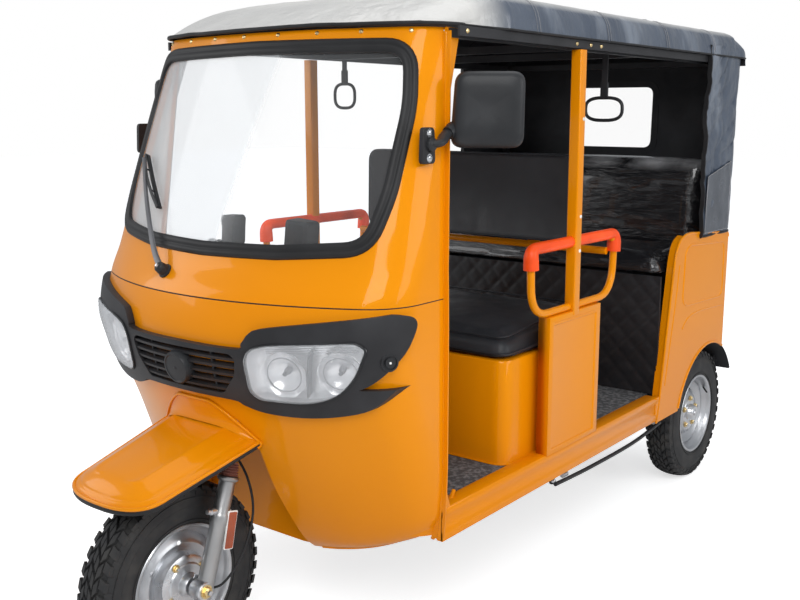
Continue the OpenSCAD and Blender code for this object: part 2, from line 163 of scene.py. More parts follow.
class Finish:
    """A procedural material: a principled shader with colour variation and bump added by layers."""

    def __init__(self, name, colour, rough, metal=0.0, **sockets):
        self.material = bpy.data.materials.new(name)
        self.material.use_nodes = True
        self.nodes = self.material.node_tree.nodes
        self.links = self.material.node_tree.links
        self.shader = self.nodes["Principled BSDF"]
        self.colour = (*colour, 1)
        self.set("Base Color", self.colour)
        self.set("Roughness", rough)
        self.set("Metallic", metal)
        for key, value in sockets.items():
            self.set(key.replace("_", " "), value)
        self.normal = None
        self.place = self.nodes.new("ShaderNodeTexCoord").outputs["Object"]

    def set(self, socket, value):
        self.shader.inputs[socket].default_value = value

    def add(self, kind, **inputs):
        """A new node: sockets given as inputs are linked and other values are set."""
        node = self.nodes.new("ShaderNode" + kind)
        for key, value in inputs.items():
            socket = node.inputs[key.replace("_", " ")]
            if isinstance(value, bpy.types.NodeSocket):
                self.links.new(value, socket)
            else:
                socket.default_value = value
        return node

    def noise(self, scale, detail=4.0, stretch=None):
        place = self.place
        if stretch:
            place = self.add("Mapping", Scale=stretch, Vector=place).outputs["Vector"]
        return self.add("TexNoise", Scale=scale, Detail=detail, Vector=place).outputs["Fac"]

    def ramp(self, value, low, high, start=0.0, end=1.0):
        return self.add("MapRange", From_Min=low, From_Max=high, To_Min=start, To_Max=end,
                        Value=value).outputs["Result"]

    def vary(self, value, other, amount=1.0):
        """Mixes the base colour towards another by a value."""
        mix = self.nodes.new("ShaderNodeMix")
        mix.data_type = "RGBA"
        old = self.shader.inputs["Base Color"]
        if old.is_linked:
            self.links.new(old.links[0].from_socket, mix.inputs["A"])
        else:
            mix.inputs["A"].default_value = self.colour
        mix.inputs["B"].default_value = (*other, 1)
        self.links.new(self.ramp(value, 0, 1, 0, amount), mix.inputs["Factor"])
        self.links.new(mix.outputs["Result"], old)
        return self

    def gloss(self, value, low, high):
        self.links.new(self.ramp(value, 0.3, 0.7, low, high), self.shader.inputs["Roughness"])
        return self

    def bump(self, value, depth, strength=1.0):
        node = self.add("Bump", Distance=depth, Strength=strength, Height=value)
        if self.normal:
            self.links.new(self.normal, node.inputs["Normal"])
        self.normal = node.outputs["Normal"]
        self.links.new(self.normal, self.shader.inputs["Normal"])
        return self

    def height(self, axis="Z"):
        return self.add("SeparateXYZ", Vector=self.place).outputs[axis]

    def cells(self, scale):
        return self.add("TexVoronoi", Scale=scale, Vector=self.place).outputs["Distance"]

    def product(self, first, second):
        node = self.nodes.new("ShaderNodeMath")
        node.operation = "MULTIPLY"
        self.links.new(first, node.inputs[0])
        self.links.new(second, node.inputs[1])
        return node.outputs[0]


def body_paint():
    f = Finish("body_paint", (0.80, 0.268, 0.001), 0.3, Coat_Weight=0.3, Coat_Roughness=0.05,
               Specular_IOR_Level=0.25, Specular_Tint=(1.0, 0.5, 0.05, 1))
    f.vary(f.ramp(f.noise(1.6, 3), 0.35, 0.7), (0.76, 0.24, 0.001), 0.6)
    # painted shade: the orange darkens towards the bottom of the body, where less light falls
    f.vary(f.ramp(f.height(), 0.75, 0.3), (0.62, 0.175, 0.001), 0.4)
    f.bump(f.noise(420, 2), 0.00006, 0.5)
    return f.material


def plain_black(name, colour, rough, grain=900.0, depth=0.00012, **sockets):
    f = Finish(name, colour, rough, Specular_IOR_Level=0.3, **sockets)
    f.vary(f.ramp(f.noise(9, 4), 0.4, 0.7), tuple(1.7 * c + 0.004 for c in colour), 0.6)
    f.bump(f.noise(grain, 3), depth)
    return f.material


def vinyl(name, colour, rough, wrinkle=0.0):
    f = Finish(name, colour, rough, Specular_IOR_Level=0.3)
    f.vary(f.ramp(f.noise(5, 4), 0.35, 0.75), tuple(1.8 * c + 0.004 for c in colour), 0.7)
    f.gloss(f.noise(14, 3), rough - 0.08, rough + 0.12)
    f.bump(f.ramp(f.cells(650), 0.0, 0.6), 0.00018, 0.7)
    if wrinkle:
        f.bump(f.noise(13, 5), wrinkle, 0.6)
    return f.material


def metal(name, colour, rough, depth=0.0001, metallic=1.0):
    f = Finish(name, colour, rough, metallic)
    f.gloss(f.noise(26, 5), max(0.05, rough - 0.08), rough + 0.12)
    f.vary(f.ramp(f.noise(7, 4), 0.45, 0.75), tuple(0.6 * c for c in colour), 0.5)
    f.bump(f.noise(240, 3), depth, 0.4)
    return f.material


def tyre_rubber():
    f = Finish("tyre_rubber", (0.016, 0.016, 0.017), 0.72)
    f.vary(f.ramp(f.noise(18, 5), 0.45, 0.8), (0.06, 0.056, 0.05), 0.6)
    f.bump(f.noise(600, 3), 0.0002)
    return f.material


def thin_glass(name, tint, gloss=0.12):
    """A pane so thin that it bends no light: clear, with a gloss that grows at grazing angles."""
    material = bpy.data.materials.new(name)
    material.use_nodes = True
    nodes, links = material.node_tree.nodes, material.node_tree.links
    shader = nodes["Principled BSDF"]
    shader.inputs["Base Color"].default_value = (*tint, 1)
    shader.inputs["Roughness"].default_value = 0.03
    shader.inputs["IOR"].default_value = 1.5
    fresnel = nodes.new("ShaderNodeFresnel")
    fresnel.inputs["IOR"].default_value = 1.35
    amount = nodes.new("ShaderNodeMapRange")
    amount.inputs["To Min"].default_value = gloss * 0.35
    amount.inputs["To Max"].default_value = 0.55
    links.new(fresnel.outputs[0], amount.inputs["Value"])
    links.new(amount.outputs["Result"], shader.inputs["Alpha"])
    return material


def carpet():
    f = Finish("floor_mat", (0.05, 0.051, 0.054), 0.85)
    f.vary(f.ramp(f.noise(60, 6), 0.45, 0.62), (0.2, 0.2, 0.205), 0.7)
    f.bump(f.ramp(f.cells(130), 0, 0.5), 0.0012)
    return f.material


# The pale colour painted on the roof's upper and front faces as a reflection of the sky.
PAINTED_SKY_REFLECTION = (0.70, 0.685, 0.65)


def canopy_cloth():
    f = Finish("canopy_vinyl", (0.042, 0.058, 0.088), 0.28, Specular_IOR_Level=0.8)
    f.vary(f.ramp(f.noise(3.5, 5), 0.4, 0.75), (0.085, 0.105, 0.14), 0.8)
    # painted highlight: pale streaks along stretched noise stand in for glints on the vinyl's folds
    f.vary(f.ramp(f.noise(6, 10, (1, 1, 0.3)), 0.60, 0.72), (0.34, 0.38, 0.44), 0.35)
    # painted reflection: the roof's top and front are mixed towards pale, as the sky reflected in them
    f.vary(f.ramp(f.height(), 1.838, 1.866), PAINTED_SKY_REFLECTION, 0.9)
    f.vary(f.ramp(f.height("Y"), -0.42, -0.56), PAINTED_SKY_REFLECTION, 0.8)
    f.bump(f.noise(6, 6, (1, 1, 0.45)), 0.035, 0.75)
    f.bump(f.cells(900), 0.00012, 0.6)
    return f.material


def plastic_wrap():
    """Creased clear film over black vinyl: glossy, with its crease lines lightened as painted highlights and a
    painted highlight along the backrest's top.
    """
    f = Finish("wrapped_vinyl", (0.012, 0.012, 0.014), 0.2, Coat_Weight=0.8, Coat_Roughness=0.06)
    creases_and_glints = f.noise(11, 9, (0.7, 1, 3.2))
    # painted highlight: the crease lines are lightened
    f.vary(f.ramp(creases_and_glints, 0.66, 0.76), (0.2, 0.2, 0.21), 0.3)
    # painted highlight: the film near the backrest's top edge is lightened in patches
    f.vary(f.product(f.ramp(f.height(), 1.300, 1.335), f.ramp(f.noise(7, 5), 0.3, 0.75)), (0.6, 0.61, 0.63),
           0.7)
    f.bump(creases_and_glints, 0.022, 0.9)
    return f.material


ORANGE = body_paint()
BLACK_TRIM = plain_black("black_trim", (0.018, 0.018, 0.02), 0.5)
BLACK_PLASTIC = plain_black("black_plastic", (0.017, 0.018, 0.02), 0.42, 1400)
RUBBER = plain_black("rubber", (0.012, 0.012, 0.013), 0.5, 500)
CHASSIS = plain_black("chassis_paint", (0.02, 0.02, 0.022), 0.45, 300, 0.0002)
LINING = plain_black("lining_vinyl", (0.014, 0.0145, 0.017), 0.6, 700)
SEAT_VINYL = vinyl("seat_vinyl", (0.016, 0.017, 0.02), 0.38)
WRAP = plastic_wrap()
CANOPY = canopy_cloth()
FLOOR_MAT = carpet()
TYRE = tyre_rubber()
CHROME = metal("chrome", (0.8, 0.81, 0.83), 0.1, depth=0.00004)
ALLOY = metal("alloy", (0.62, 0.63, 0.65), 0.32)
STEEL = metal("wheel_steel", (0.52, 0.53, 0.55), 0.36, depth=0.0002)
BRASS = metal("plated_nut", (0.75, 0.58, 0.3), 0.3)
CAST = metal("cast_iron", (0.2, 0.2, 0.21), 0.55, depth=0.0006, metallic=0.7)
GRIP_RED = plain_black("grip_red", (0.86, 0.075, 0.006), 0.4, 500)
PANE = thin_glass("window_pane", (0.93, 0.96, 0.98), 0.05)
LENS = thin_glass("lamp_lens", (0.95, 0.97, 1.0), 0.5)
MIRROR = metal("mirror_glass", (0.85, 0.87, 0.9), 0.04, depth=0.00001)
RED_LENS = plain_black("red_lens", (0.45, 0.012, 0.008), 0.15, 60, 0.0006, Coat_Weight=0.8)
REFLECTOR = plain_black("reflector", (0.28, 0.045, 0.006), 0.2, 700, 0.0004, Coat_Weight=0.8)
POCKET = vinyl("pocket_vinyl", (0.075, 0.082, 0.095), 0.34, 0.008)
AMBER = plain_black("amber_lens", (0.85, 0.2, 0.01), 0.2, 200, 0.0006, Coat_Weight=0.8)
PALE = plain_black("pale_plastic", (0.75, 0.75, 0.72), 0.4, 500)
STITCH = plain_black("stitching", (0.22, 0.22, 0.23), 0.7, 900)

# ---------------------------------------------------------------- geometry helpers


class Shape:
    """Vertices and faces gathered into one mesh, with a material for each face."""

    def __init__(self):
        self.verts, self.faces, self.mats, self.slots = [], [], [], []

    def add(self, verts, faces, material):
        start = len(self.verts)
        self.verts += [tuple(v) for v in verts]
        self.faces += [tuple(i + start for i in f) for f in faces]
        if material not in self.slots:
            self.slots.append(material)
        self.mats += [self.slots.index(material)] * len(faces)
        return self

    def make(self, name, body="body", slot=None, replaces=(), sharp=35, bevel=0):
        mesh = bpy.data.meshes.new(name)
        mesh.from_pydata(self.verts, [], self.faces)
        for material in self.slots:
            mesh.materials.append(material)
        mesh.polygons.foreach_set("material_index", self.mats)
        piece = linked(mesh, name)
        tidy_normals(mesh)
        if bevel:
            add_bevel(piece, bevel)
        shade(piece, sharp)
        return finish_piece(piece, body, replaces)


def finish_piece(piece, body, replaces=()):
    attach(piece, body)
    if replaces:
        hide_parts(*replaces)
    return piece


def tidy_normals(mesh):
    work = bmesh.new()
    work.from_mesh(mesh)
    bmesh.ops.remove_doubles(work, verts=work.verts, dist=1e-6)
    bmesh.ops.recalc_face_normals(work, faces=work.faces)
    work.to_mesh(mesh)
    work.free()


def shade(piece, sharp=35):
    mesh = piece.data
    mesh.polygons.foreach_set("use_smooth", [True] * len(mesh.polygons))
    mesh.set_sharp_from_angle(angle=math.radians(sharp))
    return piece


def apply_modifiers(piece):
    bpy.context.view_layer.update()
    graph = bpy.context.evaluated_depsgraph_get()
    mesh = bpy.data.meshes.new_from_object(piece.evaluated_get(graph))
    piece.modifiers.clear()
    old = piece.data
    piece.data = mesh
    bpy.data.meshes.remove(old)
    return piece


def linked(mesh, name):
    """A new object in the scene that shows the mesh."""
    made = bpy.data.objects.new(name, mesh)
    bpy.context.scene.collection.objects.link(made)
    return made


def add_bevel(piece, width, segments=2, angle=40):
    modifier = piece.modifiers.new("bevel", "BEVEL")
    modifier.width = width
    modifier.segments = segments
    modifier.limit_method = "ANGLE"
    modifier.angle_limit = math.radians(angle)
    modifier.use_clamp_overlap = True
    return apply_modifiers(piece)


def loose(verts, faces, material=None, name="cutter"):
    """A mesh object that isn't a piece, for use in booleans."""
    mesh = bpy.data.meshes.new(name)
    mesh.from_pydata([tuple(v) for v in verts], [], faces)
    if material:
        mesh.materials.append(material)
    tidy_normals(mesh)
    return linked(mesh, name)


def combine(piece, operation, *others):
    for other in others:
        modifier = piece.modifiers.new("boolean", "BOOLEAN")
        modifier.operation = operation
        modifier.object = other
        modifier.solver = "EXACT"
    apply_modifiers(piece)
    for other in others:
        bpy.data.objects.remove(other)
    return piece


def box_mesh(lo, hi):
    (a, b, c), (d, e, f) = lo, hi
    verts = [(a, b, c), (d, b, c), (d, e, c), (a, e, c), (a, b, f), (d, b, f), (d, e, f), (a, e, f)]
    faces = [(0, 3, 2, 1), (4, 5, 6, 7), (0, 1, 5, 4), (1, 2, 6, 5), (2, 3, 7, 6), (3, 0, 4, 7)]
    return verts, faces


def prism(outline, direction, start, end):
    """An outline in two axes, pushed along the third. direction is 0, 1 or 2 for x, y or z."""
    def place(point, depth):
        return {0: (depth, *point), 1: (point[0], depth, point[1]), 2: (*point, depth)}[direction]
    n = len(outline)
    verts = [place(p, start) for p in outline] + [place(p, end) for p in outline]
    faces = [tuple(range(n))[::-1], tuple(range(n, 2 * n))]
    faces += [(i, (i + 1) % n, n + (i + 1) % n, n + i) for i in range(n)]
    return verts, faces


def loft(rings, closed=True, caps=True):
    n = len(rings[0])
    verts = [v for ring in rings for v in ring]
    reach = n if closed else n - 1
    faces = [(r * n + i, r * n + (i + 1) % n, (r + 1) * n + (i + 1) % n, (r + 1) * n + i)
             for r in range(len(rings) - 1) for i in range(reach)]
    if caps and closed:
        faces += [tuple(range(n))[::-1], tuple(range((len(rings) - 1) * n, len(rings) * n))]
    return verts, faces


def smooth_line(points, steps=6):
    """Catmull-Rom curve through the points."""
    points = [Vector(p) for p in points]
    n = len(points)
    out = []
    for i in range(n - 1):
        a, b, c, d = (points[max(0, min(n - 1, i + k))] for k in (-1, 0, 1, 2))
        for k in range(steps):
            t = k / steps
            out.append(0.5 * (2 * b + (c - a) * t + (2 * a - 5 * b + 4 * c - d) * t * t
                              + (3 * b - a - 3 * c + d) * t ** 3))
    return out + [points[-1]]


def rounded(points, radius, steps=5, closed=True):
    """The same outline with each corner turned into an arc-like curve of about that radius."""
    points = [Vector(p) for p in points]
    n = len(points)
    radii = radius if isinstance(radius, (list, tuple)) else [radius] * n
    out = []
    for i, corner in enumerate(points):
        if not closed and i in (0, n - 1):
            out.append(corner)
            continue
        before, after = points[i - 1], points[(i + 1) % n]
        back, ahead = before - corner, after - corner
        reach = min(radii[i], back.length * 0.49, ahead.length * 0.49)
        start, end = corner + back.normalized() * reach, corner + ahead.normalized() * reach
        for k in range(steps + 1):
            t = k / steps
            out.append((1 - t) ** 2 * start + 2 * t * (1 - t) * corner + t * t * end)
    return out


def bar_section(half_width, half_height):
    """The section of a flat bar."""
    return [(-half_width, -half_height), (half_width, -half_height), (half_width, half_height),
            (-half_width, half_height)]


def rect(x0, y0, x1, y1):
    return [(x0, y0, 0), (x1, y0, 0), (x1, y1, 0), (x0, y1, 0)]


def circle(radius, count):
    return [(radius * math.cos(2 * math.pi * k / count), radius * math.sin(2 * math.pi * k / count))
            for k in range(count)]


def sweep(path, section, closed=False, caps=True, up=None):
    """Moves a flat section along a path. up keeps the section's second axis near one direction."""
    path = [Vector(p) for p in path]
    last = len(path) - 1
    rings = []
    side = None
    for i, point in enumerate(path):
        if closed:
            along = path[(i + 1) % len(path)] - path[i - 1]
        else:
            along = path[min(last, i + 1)] - path[max(0, i - 1)]
        along.normalize()
        if up is not None:
            guide = Vector(up(point)) if callable(up) else Vector(up)
            side = along.cross(guide).normalized()
        elif side is None:
            side = along.orthogonal().normalized()
        else:
            side = (side - along * side.dot(along)).normalized()
        top = side.cross(along).normalized()
        rings.append([point + side * a + top * b for a, b in section])
    if closed:
        rings.append(rings[0])
    return loft(rings, caps=caps and not closed)


def tube(path, radius, sides=12, closed=False):
    return sweep(path, circle(radius, sides), closed=closed)


def lathe(profile, centre, axis="x", count=48, closed=False):
    """Turns a profile of (distance along the axis, radius) pairs about an axis through centre."""
    centre = Vector(centre)
    directions = {"x": (Vector((1, 0, 0)), Vector((0, 1, 0)), Vector((0, 0, 1))),
                  "y": (Vector((0, 1, 0)), Vector((0, 0, 1)), Vector((1, 0, 0))),
                  "z": (Vector((0, 0, 1)), Vector((1, 0, 0)), Vector((0, 1, 0)))}
    if isinstance(axis, str):
        along, first, second = directions[axis]
    else:
        along = Vector(axis).normalized()
        first = along.orthogonal().normalized()
        second = along.cross(first)
    rings = []
    for k in range(count):
        turn = 2 * math.pi * k / count
        out = first * math.cos(turn) + second * math.sin(turn)
        rings.append([centre + along * d + out * r for d, r in profile])
    rings.append(rings[0])
    n = len(profile)
    verts = [v for ring in rings[:-1] for v in ring]
    faces = []
    for k in range(count):
        nxt = (k + 1) % count
        for i in range(n if closed else n - 1):
            j = (i + 1) % n
            faces.append((k * n + i, nxt * n + i, nxt * n + j, k * n + j))
    return verts, faces


def bolt(place, axis, radius=0.006, height=0.005):
    """A small hexagon bolt head with a washer."""
    washer = [(0, 0), (0, radius * 1.5), (height * 0.3, radius * 1.5), (height * 0.3, 0)]
    head = [(height * 0.3, 0), (height * 0.3, radius), (height * 0.9, radius), (height, radius * 0.8),
            (height, 0)]
    shape = Shape()
    shape.add(*lathe(washer, place, axis, 20), CHROME)
    shape.add(*lathe(head, place, axis, 6), CHROME)
    return shape


def merge(shape, other):
    for material in other.slots:
        index = other.slots.index(material)
        faces = [f for f, m in zip(other.faces, other.mats) if m == index]
        shape.add(other.verts, faces, material)
    return shape

# ---------------------------------------------------------------- the cab's moulded shell

# Plan sections: height, foremost y, half width, corner radius, bow radius.
SHELL_ROWS = [(0.300, -0.862, 0.545, 0.120, 0.9), (0.345, -0.905, 0.562, 0.140, 0.9),
              (0.450, -0.962, 0.575, 0.160, 0.9), (0.640, -1.035, 0.580, 0.160, 0.9),
              (0.860, -1.112, 0.580, 0.160, 0.95), (0.950, -1.124, 0.580, 0.160, 1.0),
              (1.055, -1.105, 0.579, 0.160, 1.0), (1.140, -1.052, 0.577, 0.150, 1.1),
              (1.300, -0.986, 0.5666, 0.1474, 1.2035), (1.600, -0.862, 0.5472, 0.1426, 1.3977),
              (1.760, -0.796, 0.5370, 0.1400, 1.5)]
SHELL_BOTTOM_Z = 0.304
SEAM_Z = 1.055
WAIST_Z = 1.140
PILLAR_Y = -0.720


def shell_row(z):
    """Foremost y, half width, corner radius and bow radius at a height, smooth between the rows."""
    heights = [row[0] for row in SHELL_ROWS]
    i = max(0, min(len(heights) - 2, bisect.bisect_right(heights, z) - 1))
    low, high = SHELL_ROWS[i], SHELL_ROWS[i + 1]
    step = high[0] - low[0]
    t = (z - low[0]) / step
    values = []
    for k in range(1, 5):
        slope = (high[k] - low[k]) / step

        def tangent(j):
            if j <= 0 or j >= len(SHELL_ROWS) - 1:
                return slope
            a, b, c = SHELL_ROWS[j - 1], SHELL_ROWS[j], SHELL_ROWS[j + 1]
            before, after = (b[k] - a[k]) / (b[0] - a[0]), (c[k] - b[k]) / (c[0] - b[0])
            return 0.0 if before * after <= 0 else 2 * before * after / (before + after)
        m0, m1 = tangent(i), tangent(i + 1)
        t = max(0.0, min(1.0, t))
        values.append((2 * t ** 3 - 3 * t ** 2 + 1) * low[k] + (t ** 3 - 2 * t ** 2 + t) * step * m0
                      + (3 * t ** 2 - 2 * t ** 3) * high[k] + (t ** 3 - t ** 2) * step * m1)
    return values


def pillar_end(z):
    return PILLAR_Y + 0.1 * max(0.0, z - WAIST_Z)


def section_parts(z, out):
    """The plan section at a height, grown by out: its sizes, arc centres and the angle where they meet."""
    front, half, corner, bow = shell_row(z)
    front, half, corner, bow = front - out, half + out, corner + out, bow + out
    centre_y = front + bow
    corner_y = centre_y - math.sqrt((bow - corner) ** 2 - (half - corner) ** 2)
    meet = math.atan2(half - corner, centre_y - corner_y)
    return half, corner, bow, centre_y, corner_y, meet


def shell_point(t, z, out=0.0):
    """A point of the shell: t runs to 1 over the bowed front, to 2 round the corner and to 3 along the side."""
    side, t = (-1, -t) if t < 0 else (1, t)
    half, corner, bow, centre_y, corner_y, meet = section_parts(z, out)
    if t <= 1:
        angle = meet * t
        x, y = bow * math.sin(angle), centre_y - bow * math.cos(angle)
    elif t <= 2:
        angle = meet + (math.pi / 2 - meet) * (t - 1)
        x, y = half - corner + corner * math.sin(angle), corner_y - corner * math.cos(angle)
    else:
        x, y = half, corner_y + (pillar_end(z) - corner_y) * (t - 2)
    return Vector((side * x, y, z))


def on_shell(x, z, out=0.0):
    """The point of the shell's front in line with (x, z)."""
    half, corner, bow, centre_y, corner_y, meet = section_parts(z, out)
    across = min(abs(x), half - 1e-5)
    if across <= bow * math.sin(meet):
        y = centre_y - math.sqrt(bow ** 2 - across ** 2)
    else:
        y = corner_y - math.sqrt(max(0.0, corner ** 2 - (across - half + corner) ** 2))
    return Vector((math.copysign(across, x), y, z))


def shell_normal(x, z):
    step = 0.004
    across = on_shell(x + step, z) - on_shell(x - step, z)
    up = on_shell(x, z + step) - on_shell(x, z - step)
    return across.cross(up).normalized()


FRONT_STEPS = [-3 + 0.25 * k for k in range(4)] + [-2 + k / 14 for k in range(14)] \
    + [-1 + k / 26 for k in range(52)] + [1 + k / 14 for k in range(14)] + [2 + 0.25 * k for k in range(5)]


def shell_slab(z0, z1, inner, outer, steps=None, pitch=0.012):
    """A closed slab that follows the shell between two offsets from it."""
    steps = steps or FRONT_STEPS
    rows = max(2, round((z1 - z0) / pitch))
    heights = [z0 + (z1 - z0) * k / rows for k in range(rows + 1)]
    rings = []
    for z in heights:
        ring = [shell_point(t, z, outer) for t in steps]
        ring += [shell_point(t, z, inner) for t in reversed(steps)]
        rings.append(ring)
    verts, faces = loft(rings, caps=False)
    n, top = len(steps), (len(rings) - 1) * 2 * len(steps)
    for base, flip in ((0, True), (top, False)):
        for i in range(n - 1):
            quad = (base + i, base + i + 1, base + 2 * n - 2 - i, base + 2 * n - 1 - i)
            faces.append(quad[::-1] if flip else quad)
    return verts, faces


def front_cutter(outline, y0=CUT_FRONT_Y, y1=CUT_REAR_Y):
    return loose(*prism(outline, 1, y0, y1))


def flip_x(outline):
    return [(-p[0], p[1]) for p in outline][::-1]


def pairs(points):
    return [(p[0], p[1]) for p in points]


WHEEL_OPENING = pairs(rounded([(-0.216, 0.20), (-0.206, 0.40), (-0.184, 0.52), (-0.178, 0.66), (-0.140, 0.735),
                               (0.140, 0.735), (0.178, 0.66), (0.184, 0.52), (0.206, 0.40), (0.216, 0.20)],
                              [0, 0.1, 0.1, 0.06, 0.05, 0.05, 0.06, 0.1, 0.1, 0]))


def screen_outline(inset):
    """The windscreen's outline, drawn in by inset, bowed along its lower and upper edges."""
    w = [(-0.500, 1.182), (-0.250, 1.162), (0, 1.157), (0.250, 1.162), (0.500, 1.182), (0.526, 1.330),
         (0.524, 1.560), (0.494, 1.728), (0, 1.733), (-0.494, 1.728), (-0.524, 1.560), (-0.526, 1.330)]
    radii = [0.17, 0, 0, 0, 0.17, 0.05, 0.05, 0.125, 0, 0.125, 0.05, 0.05]
    loop = pairs(rounded(w, radii, 8))
    clean = [p for i, p in enumerate(loop) if (Vector(p) - Vector(loop[i - 1])).length > 1e-5]
    if not inset:
        return clean
    out = []
    for i, p in enumerate(clean):
        along = (Vector(clean[(i + 1) % len(clean)]) - Vector(clean[i - 1])).normalized()
        out.append((p[0] - along.y * inset, p[1] + along.x * inset))
    return out


def corner_lift(y):
    """How far the moulding's lower edge rises towards the sill at its rear corner."""
    return 0.068 * max(0.0, (y + 0.86) / 0.14) ** 1.8


def lower_shell():
    verts, faces = shell_slab(SHELL_BOTTOM_Z, SEAM_Z - 0.001, SHELL_INNER, 0.0)
    shell = loose([(v[0], v[1], v[2] + corner_lift(v[1]) * max(0.0, 1 - (v[2] - SHELL_BOTTOM_Z) / 0.14))
                   for v in verts], faces,
                  ORANGE, "cab_lower_moulding")
    combine(shell, "DIFFERENCE", front_cutter(WHEEL_OPENING), front_cutter(LAMP_HOLE),
            front_cutter(flip_x(LAMP_HOLE)))
    shade(shell, 35)
    finish_piece(shell, "body", ("cab_lower_shell",))
    lips = Shape()
    edge = [on_shell(x, max(z, 0.312), 0.001) for x, z in WHEEL_OPENING]
    lips.add(*tube(edge, 0.0065, 10), ORANGE)
    hem = [shell_point(t, 0.306, -0.003) for t in FRONT_STEPS]
    hem = [Vector((p.x, p.y, p.z + corner_lift(p.y))) for p in hem]
    for part in ([p for p in hem if p.x > 0.22], [p for p in hem if p.x < -0.22]):
        lips.add(*tube(part, 0.006, 8), ORANGE)
    lips.make("cab_lower_lips", slot="body_orange")
    inner = Shape()
    inner.add(*shell_slab(0.385, SEAM_Z - 0.01, -0.0085, -0.0075), ORANGE)
    lined = inner.make("cab_inner_lining", slot="body_orange")
    combine(lined, "DIFFERENCE", front_cutter(WHEEL_OPENING), front_cutter(LAMP_HOLE),
            front_cutter(flip_x(LAMP_HOLE)))
    shade(lined)
    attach(lined, "body")


def upper_shell():
    shell = loose(*shell_slab(SEAM_Z + 0.002, 1.757, SHELL_INNER, 0.0), ORANGE, "cab_upper_moulding")
    combine(shell, "DIFFERENCE", front_cutter(screen_outline(0.012)))
    shade(shell, 35)
    finish_piece(shell, "body", ("cab_upper_shell",))
    seam = Shape()
    seam.add(*sweep([shell_point(t, SEAM_Z + 0.0005, -0.004) for t in FRONT_STEPS],
                    [(-0.003, -0.0022), (0.0035, -0.0022), (0.0035, 0.0022), (-0.003, 0.0022)], up=(0, 0, 1)),
                    RUBBER)
    # pillar flange: rolled edge, groove and black edge trim down the rear edge of each side
    for side in (-1, 1):
        rear = [shell_point(side * 3, z, 0.0) for z in [0.378 + 0.0285 * k for k in range(49)]]
        seam.add(*tube([p + Vector((side * -0.003, 0.003, 0)) for p in rear], 0.0065, 10), ORANGE)
        seam.add(*tube([p + Vector((side * -0.013, 0.008, 0)) for p in rear], 0.006, 8), RUBBER)
        inward = [p + Vector((side * -0.006, 0.0, 0)) for p in rear]
        seam.add(*sweep(inward, bar_section(0.020, 0.002),
                        up=(0, 1, 0)), ORANGE)
    seam.make("cab_seam_and_pillar_edges", slot="rubber_black")
    lining = Shape()
    steps = [t for t in FRONT_STEPS if abs(t) >= 1.7]
    for side in (-1, 1):
        part = sorted([t for t in steps if t * side > 0])
        lining.add(*shell_slab(1.0, 1.75, -0.011, -0.0075, part, 0.03), PALE)
    lining.make("pillar_inner_lining", slot="rubber_black")


def seal_section(width, height):
    return [(-width / 2, -0.004), (-width / 2, height * 0.55), (-width / 2 + 0.006, height),
            (-0.004, height), (-0.001, height * 0.72), (0.003, height * 0.72), (0.006, height),
            (width / 2 - 0.006, height * 0.9), (width / 2, height * 0.3), (width / 2, -0.004)]


def outline_on_shell(outline, out):
    return [on_shell(x, z, out) for x, z in outline]


def windscreen():
    middle = screen_outline(0.019)
    dense = []
    for i, p in enumerate(middle):
        q = middle[(i + 1) % len(middle)]
        count = max(1, round((Vector(q) - Vector(p)).length / 0.02))
        dense += [(p[0] + (q[0] - p[0]) * k / count, p[1] + (q[1] - p[1]) * k / count) for k in range(count)]
    seal = Shape()
    path = outline_on_shell(dense, 0.0)
    seal.add(*sweep(path, seal_section(0.040, 0.009), closed=True, caps=False,
                    up=lambda p: shell_normal(p.x, p.z)), RUBBER)
    seal.make("windscreen_rubber_seal", slot="rubber_black", replaces=("windscreen_seal",), sharp=50)
    pane = loose(*shell_slab(1.15, 1.75, -0.006, -0.0025, [t for t in FRONT_STEPS if abs(t) <= 2.2], 0.02),
                 PANE, "windscreen_pane")
    combine(pane, "INTERSECT", front_cutter(screen_outline(0.030)))
    shade(pane, 30)
    finish_piece(pane, "body", ("windscreen_glass",))


# ---------------------------------------------------------------- headlamps and grille band

LAMP_HOLE = pairs(rounded([(0.236, 0.826), (0.262, 0.806), (0.394, 0.806), (0.466, 0.832), (0.518, 0.896),
                           (0.541, 0.962), (0.518, 0.979), (0.300, 0.961), (0.252, 0.946), (0.234, 0.915)],
                          [0.02, 0.02, 0.06, 0.04, 0.05, 0.012, 0.012, 0.05, 0.02, 0.02]))
BAND_HALF = [(0.0, 0.797), (0.170, 0.795), (0.205, 0.783), (0.262, 0.768), (0.360, 0.764), (0.455, 0.775),
             (0.526, 0.798), (0.577, 0.850), (0.596, 0.905), (0.607, 0.985), (0.608, 1.034), (0.588, 1.046),
             (0.500, 1.033), (0.290, 1.001), (0.250, 0.986), (0.228, 0.958), (0.205, 0.941), (0.0, 0.941)]


def band_outline():
    points = pairs(smooth_line(BAND_HALF, 4))
    return points + [(-x, z) for x, z in reversed(points[1:-1])]


def side_cutter(outline, side):
    return front_cutter(outline if side > 0 else flip_x(outline))


GRILLE_HOLE = pairs(rounded([(-0.150, 0.812), (0.150, 0.812), (0.196, 0.868), (0.205, 0.912), (0.190, 0.926),
                             (-0.190, 0.926), (-0.205, 0.912), (-0.196, 0.868)], 0.012))


